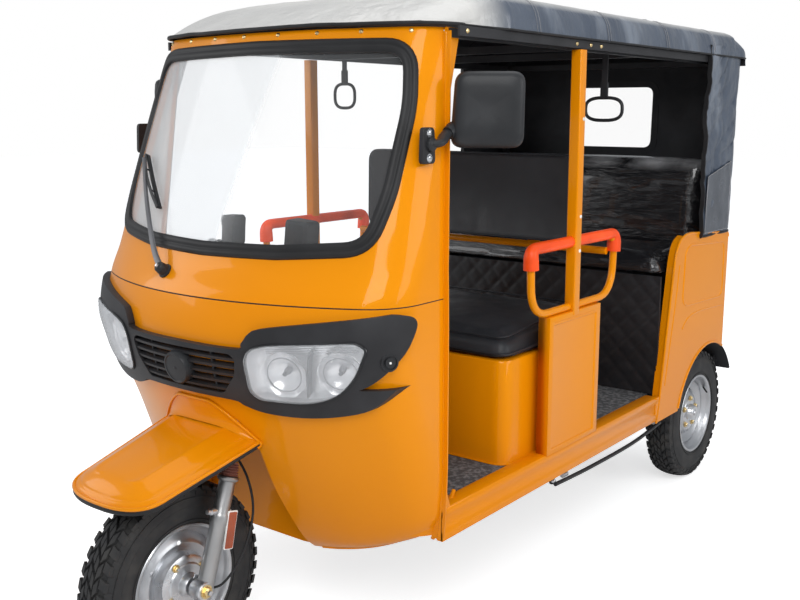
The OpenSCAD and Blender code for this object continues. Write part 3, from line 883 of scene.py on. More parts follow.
def headlamp_band():
    steps = [t for t in FRONT_STEPS if abs(t) <= 2.25]
    band = loose(*shell_slab(0.755, 1.055, 0.001, 0.022, steps, 0.010), BLACK_TRIM, "headlamp_band_panel")
    combine(band, "INTERSECT", front_cutter(band_outline(), CUT_FRONT_Y, -0.83))
    # the band's rear ends, tapered in side view: the outline of what is cut away, in y and z
    end = pairs(smooth_line([(-0.988, 0.851), (-0.969, 0.871), (-0.937, 0.910), (-0.897, 0.954),
                             (-0.868, 1.000), (-0.866, 1.022), (-0.886, 1.037), (-0.94, 1.046)], 5))[::-1]
    end = [(-0.94, 1.10)] + end + [(-0.70, 0.851), (-0.70, 1.10)]
    combine(band, "DIFFERENCE", *[loose(*prism(end, 0, *reach)) for reach in ((0.5, 0.7), (-0.7, -0.5))])
    combine(band, "DIFFERENCE", front_cutter(LAMP_HOLE), front_cutter(flip_x(LAMP_HOLE)),
            front_cutter(GRILLE_HOLE))
    add_bevel(band, 0.006, 3, 50)
    shade(band, 30)
    finish_piece(band, "body", ("headlamp_band",))
    grille = Shape()
    lows = outline_on_shell(GRILLE_HOLE, 0.0015)
    grille.add(lows, [tuple(range(len(lows)))], BLACK_PLASTIC)
    for k in range(5):
        z = 0.8265 + 0.0215 * k
        reach = 0.150 + 0.050 * min(1.0, (z - 0.812) / 0.07) + 0.003
        path = [on_shell(-reach + 2 * reach * j / 24, z, 0.012) for j in range(25)]
        grille.add(*sweep(path, [(-0.0055, -0.010), (0.0035, -0.010), (0.0055, 0.006), (-0.0025, 0.008)],
                          up=lambda p: shell_normal(p.x, p.z)), BLACK_TRIM)
    for x in (-0.12, 0.12):
        path = [on_shell(x, 0.815 + 0.011 * k, 0.008) for k in range(11)]
        grille.add(*sweep(path, [(-0.003, -0.006), (0.003, -0.006), (0.003, 0.004), (-0.003, 0.004)],
                          up=lambda p: shell_normal(p.x, p.z)), BLACK_TRIM)
    centre = on_shell(0, 0.870, 0.0)
    out = shell_normal(0, 0.870)
    boss = [(0.006, 0.0), (0.006, 0.047), (0.030, 0.0455), (0.034, 0.043), (0.0345, 0.039), (0.0325, 0.037),
            (0.0335, 0.012), (0.0335, 0.0)]
    grille.add(*lathe(boss, centre, out, 56), BLACK_PLASTIC)
    dot = [(0.033, 0.0), (0.0345, 0.003), (0.034, 0.005), (0.033, 0.006)]
    grille.add(*lathe(dot, centre, out, 16), BLACK_TRIM)
    for side in (-1, 1):
        place = on_shell(side * 0.572, 0.926, 0.019)
        away = Vector((side * 0.86, -0.5, 0.05)).normalized()
        knob = [(-0.012, 0.0), (-0.012, 0.024), (0.004, 0.024), (0.006, 0.022), (0.006, 0.019), (0.003, 0.018),
                (0.003, 0.014), (0.009, 0.013), (0.010, 0.0)]
        grille.add(*lathe(knob, place, away, 32), BLACK_PLASTIC)
        grille.add(*lathe([(0.009, 0.0), (0.009, 0.0035), (0.011, 0.003), (0.0115, 0.0)], place, away, 12),
                   PALE)
    grille.make("grille_and_boss", slot="plastic_black", sharp=40)


# The middle of the left headlamp, seen from the front.
LAMP_X, LAMP_Z = 0.385, 0.893
CUP_SIDES = 36
LAMP_BOWL = metal("lamp_bowl", (0.93, 0.93, 0.94), 0.16, depth=0.0012, metallic=0.6)


def cup_ring(place, out, radius, k):
    side_way = out.cross(Vector((0, 0, 1))).normalized()
    up_way = side_way.cross(out).normalized()
    angle = 2 * math.pi * k / CUP_SIDES
    return place + side_way * (radius * math.cos(angle)) + up_way * (radius * math.sin(angle))


def headlamp(side):
    name = "left" if side > 0 else "right"

    def at(x, z, out):
        return on_shell(side * x, z, out)
    bowl = Shape()
    rings = []
    for scale, depth in ((1.0, 0.016), (0.985, 0.004), (0.93, -0.012), (0.80, -0.020), (0.62, -0.024)):
        rings.append([at(LAMP_X + (x - LAMP_X) * scale, LAMP_Z + (z - LAMP_Z) * scale, depth)
                      for x, z in LAMP_HOLE])
    verts, faces = loft(rings, caps=False)
    n = len(LAMP_HOLE)
    faces.append(tuple(range(4 * n, 5 * n)))
    bowl.add(verts, faces, LAMP_BOWL)
    # two fluted reflector bowls with bulbs, and the divider between them
    for x, z, radius in ((0.318, 0.888, 0.060), (0.452, 0.900, 0.056)):
        place = at(x, z, -0.026)
        out = shell_normal(side * x, z)
        cup = [(0.0, 0.006), (0.003, 0.02), (0.010, 0.036), (0.022, 0.050), (0.036, radius),
               (0.038, radius + 0.003), (0.034, radius + 0.004)]
        verts, faces = lathe(cup, place, out, 40)
        bowl.add([v + (v - place) * (0.03 * math.sin(10 * math.atan2((v - place).z, (v - place).x)))
                  for v in verts],
                 faces, LAMP_BOWL)
        bowl.add(*lathe([(0.0, 0.0), (0.0, 0.009), (0.016, 0.009), (0.022, 0.006), (0.024, 0.0)], place, out,
                        20), CAST)
        bowl.add(*lathe([(0.022, 0.0), (0.024, 0.0055), (0.032, 0.006), (0.036, 0.0)], place, out, 16),
                 BLACK_PLASTIC)
        bowl.add(*tube([cup_ring(place, out, radius * 0.78, k) + out * 0.034 for k in range(CUP_SIDES)], 0.0016,
                       6, closed=True), CAST)
    divider = [at(0.376, 0.822 + 0.014 * k, 0.004) + Vector((side * 0.0035 * k, 0, 0)) for k in range(10)]
    bowl.add(*sweep(divider, [(-0.004, -0.02), (0.004, -0.02), (0.002, 0.006), (-0.002, 0.006)],
                    up=lambda p: shell_normal(p.x, p.z)), BLACK_PLASTIC)
    for k in range(5):
        z = 0.952 - 0.006 * k
        ridge = [at(0.27 + 0.012 * j, z + 0.0013 * j * 0.8, -0.004 - 0.002 * k) for j in range(20)]
        bowl.add(*tube(ridge, 0.0016, 6), CHROME)
    bowl.make(f"headlamp_reflector_{name}", slot="lamp_lens", sharp=40)
    steps = [t for t in FRONT_STEPS if 0.2 <= side * t <= 2.2]
    lens = loose(*shell_slab(0.79, 0.99, 0.026, 0.0285, steps, 0.008), LENS, f"headlamp_lens_{name}")
    grown = [(LAMP_X + (x - LAMP_X) * 0.99, LAMP_Z + (z - LAMP_Z) * 0.985) for x, z in LAMP_HOLE]
    combine(lens, "INTERSECT", side_cutter(grown, side))
    shade(lens, 30)
    finish_piece(lens, "body", ("headlamps",) if side > 0 else ())
    rim = Shape()
    rim.add(*sweep([at(x, z, 0.024) for x, z in grown], circle(0.0035, 8), closed=True, caps=False),
            BLACK_PLASTIC)
    rim.make(f"headlamp_rim_{name}", slot="plastic_black")


# ---------------------------------------------------------------- front mudguard

# Where the mudguard's nose begins, its foremost point and its rear end.
GUARD_NOSE_Y = -1.320
GUARD_TIP_Y = -1.412
GUARD_BACK_Y = -1.000


def guard_edge(y):
    """Height of the mudguard's lower edge."""
    return 0.566 + 0.252 * (y - GUARD_TIP_Y)


def guard_outline():
    """Plan of the mudguard from its left rear corner round the nose to the right one."""
    side = [(0.192 - 0.026 * k / 14, GUARD_BACK_Y + (GUARD_NOSE_Y - GUARD_BACK_Y) * k / 14) for k in range(14)]
    nose = []
    for k in range(33):
        a = math.pi / 2 - math.pi * k / 32
        x = 0.166 * math.copysign(abs(math.sin(a)) ** 0.78, math.sin(a))
        nose.append((x, GUARD_NOSE_Y - (GUARD_NOSE_Y - GUARD_TIP_Y) * abs(math.cos(a)) ** 0.78))
    return side + nose + [(-x, y) for x, y in side[::-1]]


def guard_surface(x, y, share):
    """A point of the guard: share 0 is its edge and 1 its spine."""
    spine_y = max(y, GUARD_NOSE_Y)
    px, py = x * (1 - share), y + (spine_y - y) * share
    rise = 0.044 + 0.010 * (py - GUARD_TIP_Y)
    crown = rise * (1 - (1 - share) ** 3.4)
    crease = 0.004 * math.exp(-((share - 0.44) / 0.07) ** 2) if py > -1.36 else 0.0
    groove = 0.0035 * math.exp(-((share - 0.13) / 0.025) ** 2)
    z = guard_edge(py) + crown + crease - groove
    reach = on_shell(px, min(z, 0.74), 0.0).y
    return Vector((px, min(py, reach), z))


def mudguard():
    guard = Shape()
    outline = guard_outline()
    shares = [0, 0.02, 0.05, 0.08, 0.105, 0.13, 0.155, 0.19, 0.25, 0.32, 0.38, 0.41, 0.44, 0.47, 0.50, 0.58,
              0.7, 0.85, 1]
    rings = [[guard_surface(x, y, s) for x, y in outline] for s in shares]
    under = [[p + Vector((0, 0, -0.004)) for p in ring] for ring in rings]
    guard.add(*loft(rings, closed=False, caps=False), ORANGE)
    guard.add(*loft(under[::-1], closed=False, caps=False), BLACK_TRIM)
    edge = rings[0]
    guard.add(*tube([p + Vector((0, 0, 0.001)) for p in edge], 0.0052, 10), ORANGE)
    skirt = [p + Vector((-0.004 * p.x / 0.17, 0.003 if p.y < GUARD_NOSE_Y else 0, -0.009)) for p in edge]
    guard.add(*tube(skirt, 0.0078, 10), RUBBER)
    # upturned collar against the shell
    collar = []
    for k in range(41):
        s = -1 + 2 * k / 40
        x = 0.196 * s
        rise = 0.054 * (1 - abs(s) ** 3.4)
        low = guard_edge(-1.03) + rise - 0.014
        top = 0.770 - 0.112 * max(0.0, (abs(s) - 0.30) / 0.70) ** 1.35
        column = []
        for j in range(11):
            z = low + (top - low) * j / 10
            column.append(on_shell(x, z, 0.004 + 0.016 * (1 - j / 10) ** 2.6))
        collar.append(column)
    verts, faces = loft(collar, closed=False, caps=False)
    guard.add(verts, faces, ORANGE)
    rim = [ring[-1] for ring in collar]
    guard.add(*tube(rim, 0.0048, 8), ORANGE)
    made = guard.make("front_mudguard_pressing", slot="body_orange", replaces=("front_mudguard",), sharp=60)
    weld = made.modifiers.new("weld", "WELD")
    weld.merge_threshold = 0.0004
    apply_modifiers(made)


lower_shell()
upper_shell()
windscreen()
headlamp_band()
for lamp_side in (-1, 1):
    headlamp(lamp_side)
mudguard()

# ---------------------------------------------------------------- wheels

TYRE_PROFILE = [(-0.046, 0.157), (-0.052, 0.166), (-0.0575, 0.185), (-0.0585, 0.205), (-0.057, 0.224),
                (-0.053, 0.244), (-0.050, 0.254), (-0.040, 0.263), (-0.020, 0.2675), (0, 0.2685),
                (0.020, 0.2675), (0.040, 0.263), (0.050, 0.254), (0.053, 0.244), (0.057, 0.224),
                (0.0585, 0.205), (0.0575, 0.185), (0.052, 0.166), (0.046, 0.157)]
TREAD_PITCHES = 40
TREAD_DEPTH = 0.0095


def crown_radius(x):
    """Radius of the tread's outer surface at a distance from the tyre's middle."""
    return 0.2768 - 0.0085 * (abs(x) / 0.050) ** 2.4


def tread_block(x0, x1, a0, a1, skew):
    """One tread block between two distances and two angles, its ends slanted by skew."""
    verts, count = [], 4
    for level, pull in ((0.0, 0.0), (1.0, 0.10)):
        for k in range(count):
            s = k / (count - 1)
            s_in = pull * 0.5 + s * (1 - pull)
            x = x0 + (x1 - x0) * s_in
            for a in (a0 + (a1 - a0) * pull * 0.5, a1 - (a1 - a0) * pull * 0.5):
                turn = a + skew * (s - 0.5)
                r = crown_radius(x) - TREAD_DEPTH * (1 - level)
                verts.append((x, r * math.cos(turn), r * math.sin(turn)))
    n = 2 * count
    faces = []
    for k in range(count - 1):
        a, b = n + 2 * k, n + 2 * k + 1
        faces.append((a, b, b + 2, a + 2))
        faces.append((2 * k, 2 * k + 2, n + 2 * k + 2, n + 2 * k))
        faces.append((2 * k + 1, n + 2 * k + 1, n + 2 * k + 3, 2 * k + 3))
    faces.append((0, n, n + 1, 1))
    faces.append((n - 2, n - 1, 2 * n - 1, 2 * n - 2))
    return verts, faces


def tyre(centre, name, body, node):
    shape = Shape()
    shape.add(*lathe(smooth_profile(TYRE_PROFILE), centre, "x", 96), TYRE)
    for r in (0.176, 0.214, 0.238):
        for side in (-1, 1):
            x = side * (0.0572 if r < 0.23 else 0.0552)
            ring = [(x - side * 0.003, r - 0.002), (x + side * 0.0012, r - 0.0012),
                    (x + side * 0.0012, r + 0.0012), (x - side * 0.003, r + 0.002)]
            shape.add(*lathe(ring, centre, "x", 96, closed=True), TYRE)
    pitch = 2 * math.pi / TREAD_PITCHES
    blocks = [(-0.0135, -0.001, 0.00, 0.74, 0.05), (0.001, 0.0135, 0.42, 1.16, 0.05),
              (-0.0305, -0.0165, 0.35, 1.12, -0.06), (0.0165, 0.0305, 0.78, 1.55, -0.06),
              (-0.0535, -0.0335, 0.05, 0.70, 0.03), (0.0335, 0.0535, 0.55, 1.20, 0.03)]
    for k in range(TREAD_PITCHES):
        for x0, x1, a0, a1, skew in blocks:
            verts, faces = tread_block(x0, x1, (k + a0) * pitch, (k + a1) * pitch, skew)
            shape.add([Vector(centre) + Vector(v) for v in verts], faces, TYRE)
    for k in range(TREAD_PITCHES):
        for side in (-1, 1):
            turn = (k + 0.3) * pitch
            ring = [(side * x, r) for r, x in ((0.262, 0.049), (0.245, 0.0556), (0.245, 0.052), (0.262, 0.046))]
            verts = []
            for a in (turn, turn + 0.5 * pitch):
                verts += [Vector(centre) + Vector((x, r * math.cos(a), r * math.sin(a))) for x, r in ring]
            faces = [(0, 1, 5, 4), (1, 2, 6, 5), (3, 0, 4, 7), (0, 3, 2, 1), (4, 5, 6, 7)]
            shape.add(verts, faces, TYRE)
    shape.make(name, body, "tyre_black", (node,), sharp=32)


def smooth_profile(points):
    return [(p.x, p.y) for p in smooth_line([(x, r, 0) for x, r in points], 3)]


RIM_PROFILE = [(0.0535, 0.1665), (0.0555, 0.1645), (0.0545, 0.160), (0.050, 0.1565), (0.043, 0.1545),
               (0.036, 0.151), (0.028, 0.1415), (0.020, 0.139), (-0.020, 0.139), (-0.028, 0.1415),
               (-0.036, 0.151), (-0.043, 0.1545), (-0.050, 0.1565), (-0.0545, 0.160), (-0.0555, 0.1645),
               (-0.0535, 0.1665)]


def rim_barrel(shape, centre, material):
    inner = [(x, r - 0.0028) for x, r in RIM_PROFILE][::-1]
    shape.add(*lathe(RIM_PROFILE + inner, centre, "x", 84, closed=True), material)


def wheel_disc(centre, face, profile, holes, hole_r, hole_size, name):
    """The pressed disc, facing outwards along face, with a ring of ventilation holes."""
    shell = [(face * d, r) for d, r in profile] + [(face * (d - 0.0035), r) for d, r in profile][::-1]
    verts, faces = lathe(shell, centre, "x", 84, closed=True)
    disc = loose(verts, faces, STEEL, name)
    for k in range(holes):
        turn = 2 * math.pi * (k + 0.5) / holes
        c = Vector(centre) + Vector((0, hole_r * math.cos(turn), hole_r * math.sin(turn)))
        profile_cut = [(-0.06, 0.0), (-0.06, hole_size), (0.09, hole_size), (0.09, 0.0)]
        combine(disc, "DIFFERENCE", loose(*lathe([(face * d, r) for d, r in profile_cut], c, "x", 16)))
    return disc


def join_pieces(target, others):
    """Joins mesh objects into the first one, keeping materials."""
    work = bmesh.new()
    materials = list(target.data.materials)
    for o in [target, *others]:
        mapping = []
        for m in o.data.materials:
            if m not in materials:
                materials.append(m)
            mapping.append(materials.index(m))
        start = len(work.faces)
        work.from_mesh(o.data)
        work.faces.ensure_lookup_table()
        for face in work.faces[start:]:
            face.material_index = mapping[face.material_index] if mapping else 0
    target.data.materials.clear()
    for m in materials:
        target.data.materials.append(m)
    work.to_mesh(target.data)
    work.free()
    for o in others:
        bpy.data.objects.remove(o)
    return target


def plain_object(shape, name="part"):
    mesh = bpy.data.meshes.new(name)
    mesh.from_pydata(shape.verts, [], shape.faces)
    for material in shape.slots:
        mesh.materials.append(material)
    mesh.polygons.foreach_set("material_index", shape.mats)
    tidy_normals(mesh)
    return linked(mesh, name)


def nut(shape, place, axis, radius, height, material):
    shape.add(*lathe([(0, 0), (0, radius * 1.35), (height * 0.2, radius * 1.35), (height * 0.2, 0)], place,
                     axis, 24),
              material)
    shape.add(*lathe([(height * 0.2, 0), (height * 0.2, radius), (height * 0.85, radius),
                      (height, radius * 0.8), (height, 0)], place, axis, 6), material)
    shape.add(*lathe([(height, 0), (height, radius * 0.5), (height * 1.5, radius * 0.45), (height * 1.55, 0)],
                     place, axis, 14), ALLOY)


def road_wheel(centre, faces_out, name, body, node, front=False):
    centre, f = Vector(centre), faces_out
    shape = Shape()
    rim_barrel(shape, centre, STEEL)
    if front:
        profile = [(0.014, 0.140), (0.020, 0.128), (0.030, 0.120), (0.034, 0.108), (0.028, 0.096),
                   (0.024, 0.088), (0.024, 0.040)]
        disc = wheel_disc(centre, 1, profile, 6, 0.110, 0.007, name)
        for face in (-1, 1):
            drum = [(0, 0.0845), (face * 0.040, 0.0845), (face * 0.046, 0.081), (face * 0.052, 0.079),
                    (face * 0.056, 0.072), (face * 0.058, 0.060), (face * 0.062, 0.056), (face * 0.064, 0.034),
                    (face * 0.078, 0.030), (face * 0.084, 0.026), (face * 0.086, 0.012), (face * 0.086, 0.0)]
            shape.add(*lathe(drum, centre, "x", 60), ALLOY)
            for k in range(4):
                turn = 2 * math.pi * (k + 0.35) / 4
                place = centre + Vector((face * 0.058, 0.066 * math.cos(turn), 0.066 * math.sin(turn)))
                nut(shape, place, (face, 0, 0), 0.0085, 0.009, BRASS)
    else:
        profile = [(0.018, 0.140), (0.022, 0.130), (0.016, 0.122), (0.010, 0.112), (0.006, 0.100),
                   (0.010, 0.090), (0.020, 0.082), (0.024, 0.074), (0.024, 0.036)]
        disc = wheel_disc(centre, f, profile, 8, 0.097, 0.0075, name)
        hub = [(0.0, 0.060), (f * 0.022, 0.060), (f * 0.026, 0.056), (f * 0.028, 0.036), (f * 0.046, 0.031),
               (f * 0.051, 0.026), (f * 0.052, 0.010), (f * 0.052, 0.0)]
        shape.add(*lathe(hub, centre, "x", 48), ALLOY)
        drum = [(-f * 0.004, 0.060), (-f * 0.004, 0.098), (-f * 0.046, 0.100), (-f * 0.050, 0.094),
                (-f * 0.050, 0.03)]
        shape.add(*lathe(drum, centre, "x", 60), CHASSIS)
        for k in range(5):
            turn = 2 * math.pi * (k + 0.2) / 5
            place = centre + Vector((f * 0.026, 0.060 * math.cos(turn), 0.060 * math.sin(turn)))
            nut(shape, place, (f, 0, 0), 0.009, 0.010, BRASS)
    stem = centre + Vector((f * 0.036, 0.148 * math.cos(0.6), 0.148 * math.sin(0.6)))
    shape.add(*tube([stem, stem + Vector((f * 0.014, -0.012, -0.008)),
                     stem + Vector((f * 0.024, -0.020, -0.013))],
                    0.0038, 10), RUBBER)
    target = plain_object(shape, name)
    join_pieces(target, [disc])
    target.name = name
    shade(target, 35)
    finish_piece(target, body, (node,))


tyre(FRONT_HUB, "front_tyre_tread", "wheel_front", "front_tyre")
road_wheel(FRONT_HUB, 1, "front_road_wheel", "wheel_front", "front_wheel", front=True)
for side, label in ((1, "left"), (-1, "right")):
    hub_place = (side * WHEEL_X, REAR_AXLE_Y, WHEEL_Z)
    tyre(hub_place, f"rear_tyre_tread_{label}", f"wheel_rear_{label}", f"rear_tyre_{label}")
    road_wheel(hub_place, side, f"rear_road_wheel_{label}", f"wheel_rear_{label}", f"rear_wheel_{label}")

# ---------------------------------------------------------------- fork, handlebar and cable


def steer(x, y, z):
    """A point in the tilted frame of the steering axis: z runs up the axis."""
    return AXIS_BASE + Vector((x, y * math.cos(RAKE) + z * math.sin(RAKE),
                               -y * math.sin(RAKE) + z * math.cos(RAKE)))


# The fork legs in the steering axis's frame.
LEG_X = 0.115
LEG_Y = -0.0507
FORK_ALLOY = metal("fork_alloy", (0.42, 0.42, 0.42), 0.38)
BOOT = plain_black("fork_boot", (0.16, 0.06, 0.045), 0.6, 300)


def front_fork():
    shape = Shape()
    for side in (-1, 1):
        foot = steer(side * LEG_X, LEG_Y + 0.014, 0)
        leg_axis = (steer(side * LEG_X, LEG_Y + 0.048, 0.33) - foot).normalized()

        def leg(y, z, x=0.0):
            return steer(side * (LEG_X + x), LEG_Y + 0.014 + 0.034 * z / 0.33 + y, z)
        lower = [(-0.048, 0.0), (-0.048, 0.016), (-0.044, 0.020), (-0.020, 0.0225), (0.160, 0.0215),
                 (0.166, 0.0235),
                 (0.186, 0.0245), (0.192, 0.0235), (0.198, 0.0215), (0.282, 0.0215), (0.286, 0.027),
                 (0.291, 0.029), (0.295, 0.027), (0.297, 0.018), (0.297, 0.0)]
        shape.add(*lathe([(a, b * 1.06) for a, b in lower], foot, leg_axis, 40), FORK_ALLOY)
        boot = [(0.296, 0.019)]
        for k in range(5):
            boot += [(0.299 + 0.007 * k, 0.0265 - 0.001 * k), (0.3025 + 0.007 * k, 0.022 - 0.001 * k)]
        boot += [(0.334, 0.018), (0.336, 0.0)]
        shape.add(*lathe(boot, foot, leg_axis, 32), BOOT)
        upper = [(0.330, 0.0), (0.330, 0.0165), (0.366, 0.0165), (0.368, 0.0)]
        shape.add(*lathe(upper, foot, leg_axis, 28), CHROME)
        # clamp with its stub bolt, where the mudguard stay of this fork type would fix
        clamp = leg(-0.020, 0.200)
        shape.add(*lathe([(0.0, 0.0), (0.0, 0.010), (0.018, 0.010), (0.020, 0.007), (0.030, 0.007),
                          (0.031, 0.0)],
                         clamp, (0, -1, 0.2), 18), ALLOY)
        # axle clamp and nut
        hub = Vector((side * LEG_X, FRONT_HUB.y, FRONT_HUB.z))
        lug = [(-0.022, 0.0), (-0.022, 0.024), (-0.018, 0.027), (0.018, 0.027), (0.022, 0.024), (0.022, 0.0)]
        shape.add(*lathe(lug, hub, "x", 32), ALLOY)
        nut(shape, hub + Vector((side * 0.022, 0, 0)), (side, 0, 0), 0.014, 0.012, BRASS)
        # reflector on its plate
        for size, lift, material in ((0.0, 0.0, PALE), (0.003, 0.0022, REFLECTOR)):
            centre = leg(0.026, 0.150, 0.0215 + lift)
            w, h = 0.0165 - size, 0.053 - size
            rows = [(p.x, p.y) for p in rounded(rect(-w, -h, w, h), 0.004, 3)]
            ring0 = [centre + Vector((0, a * math.cos(RAKE) + b * math.sin(RAKE),
                                      -a * math.sin(RAKE) + b * math.cos(RAKE))) for a, b in rows]
            ring1 = [p + Vector((side * 0.004, 0, 0)) for p in ring0]
            shape.add(*loft([ring0, ring1]), material)
        stay = [leg(0.012, 0.102 + 0.02 * k) for k in range(6)]
        shape.add(*sweep(stay, [(-0.004, -0.004), (0.02, -0.004), (0.02, 0.022), (-0.004, 0.022)],
                         up=(0, 1, 0)), ALLOY)
    # yoke and column
    yoke = rounded([(-0.139, -0.074, 0), (0.139, -0.074, 0), (0.139, -0.032, 0), (0.040, 0.024, 0),
                    (-0.040, 0.024, 0), (-0.139, -0.032, 0)], 0.018, 4)
    rings = []
    for z, inset in ((0.330, 0.96), (0.333, 1.0), (0.349, 1.0), (0.352, 0.96)):
        rings.append([steer(p[0] * inset, LEG_Y + (p[1] - LEG_Y) * inset, z) for p in yoke])
    shape.add(*loft(rings), CHASSIS)
    column = [(0.330, 0.0), (0.330, 0.024), (0.345, 0.024), (0.352, 0.0158), (0.885, 0.0158), (0.89, 0.0)]
    shape.add(*lathe(column, AXIS_BASE, AXIS_DIR, 32), CHROME)
    # horn-shaped brake arm on the drum
    arm = [FRONT_HUB + Vector((0.088, 0.002, 0.03)), FRONT_HUB + Vector((0.094, 0.030, 0.008)),
           FRONT_HUB + Vector((0.096, 0.044, -0.014))]
    shape.add(*sweep(smooth_line(arm, 5), bar_section(0.006, 0.002),
                     up=(1, 0, 0)), ALLOY)
    shape.make("front_fork_assembly", "steering", "alloy_silver", ("front_fork",), sharp=38)


def handlebar():
    shape = Shape()
    clamp = [(-0.040, -0.028), (0.040, -0.028), (0.040, 0.036), (-0.040, 0.036)]
    outline = rounded([(a, b, 0) for a, b in clamp], 0.012, 4)
    rings = [[steer(p.x * s, p.y * s, z) for p in outline]
             for z, s in ((0.830, 0.9), (0.834, 1.0), (0.870, 1.0), (0.874, 0.9))]
    shape.add(*loft(rings), BLACK_PLASTIC)
    for side in (-1, 1):
        bar = smooth_line([(0, -0.948, 1.106), (side * 0.045, -0.915, 1.121), (side * 0.110, -0.862, 1.140),
                           (side * 0.170, -0.818, 1.146), (side * 0.288, -0.750, 1.136)], 8)
        shape.add(*tube(bar, 0.0105, 14), CHASSIS)
        start, end = Vector((side * 0.195, -0.804, 1.144)), Vector((side * 0.290, -0.749, 1.136))
        along = (end - start).normalized()
        grip = [(0.0, 0.011), (0.001, 0.0185)]
        for k in range(9):
            grip += [(0.006 + 0.0105 * k, 0.0155), (0.0112 + 0.0105 * k, 0.0145)]
        grip += [(0.104, 0.0175), (0.108, 0.0175), (0.110, 0.0)]
        shape.add(*lathe(grip, start, along, 24), RUBBER)
        lever = smooth_line([start + Vector((side * -0.012, -0.02, 0.006)),
                             start + Vector((side * 0.02, -0.045, 0.010)),
                             end + Vector((0, -0.045, 0.004)), end + Vector((side * 0.012, -0.03, 0.0))], 6)
        shape.add(*sweep(lever, bar_section(0.005, 0.002), up=(0, 0, 1)),
                  ALLOY)
    shape.make("handlebar_assembly", "steering", "plastic_black", ("handlebar",), sharp=38)
    pods = Shape()
    right = rounded([(-0.030, 0.0, 0), (0.026, 0.0, 0), (0.030, 0.060, 0), (0.034, 0.092, 0),
                     (-0.030, 0.090, 0), (-0.024, 0.055, 0)], 0.010, 3)
    pods.add(*loft([[(-0.128 + p[0] * s, y, 1.150 + 0.045 + (p[1] - 0.045) * s) for p in right]
                    for y, s in ((-0.832, 0.86), (-0.826, 1.0), (-0.790, 1.0), (-0.783, 0.88))]), BLACK_PLASTIC)
    left = rounded([(-0.046, 0.0, 0), (0.040, 0.004, 0), (0.050, 0.086, 0), (-0.034, 0.092, 0)], 0.012, 4)
    pods.add(*loft([[(0.150 + p[0] * s, y, 1.154 + 0.045 + (p[1] - 0.045) * s) for p in left]
                    for y, s in ((-0.842, 0.8), (-0.834, 1.0), (-0.790, 1.02), (-0.782, 0.92),
                                 (-0.786, 0.84))]),
             BLACK_PLASTIC)
    for x, z, r in ((0.135, 1.205, 0.018), (0.172, 1.205, 0.012)):
        dial = [(0.0, 0.0), (0.0, r * 0.86), (0.003, r * 0.9), (0.003, r), (-0.002, r * 1.04)]
        pods.add(*lathe(dial, (x, -0.7835, z), "y", 28), PALE)
    for k in range(3):
        knob = [(0.0, 0.0), (0.0, 0.006), (0.006, 0.005), (0.007, 0.0)]
        pods.add(*lathe(knob, (-0.128, -0.784, 1.165 + 0.024 * k), "y", 14),
                 (GRIP_RED, PALE, AMBER)[k])
    pods.make("switch_and_instrument_pods", "steering", "plastic_black", sharp=38)


# The front brake cable's route, from the hub up beside the column.
CABLE_ROUTE = [(0.096, -1.150, 0.262), (0.122, -1.118, 0.268), (0.132, -1.070, 0.310), (0.130, -1.022, 0.375),
               (0.118, -0.990, 0.450), (0.092, -0.985, 0.530), (0.062, -1.002, 0.600), (0.044, -1.024, 0.665),
               (0.041, -1.020, 0.730), (0.041, -1.004, 0.800), (0.041, -0.980, 0.905), (0.040, -0.958, 1.000),
               (0.033, -0.941, 1.084)]


def brake_cable():
    shape = Shape()
    path = smooth_line(CABLE_ROUTE, 8)
    shape.add(*tube(path, 0.0035, 12), RUBBER)
    shape.add(*tube(path[0:5], 0.0052, 12), ALLOY)
    shape.make("front_brake_cable_hose", "steering", "rubber_black", ("front_brake_cable",))


front_fork()
handlebar()
brake_cable()

# ---------------------------------------------------------------- wiper and mirrors


# Where the wiper's spindle leaves the shell, in x and z.
WIPER_PIVOT = (-0.120, 1.105)
MIRROR_CENTRE = Vector((0.646, -0.632, 1.546))
MIRROR_TURN = math.radians(39)


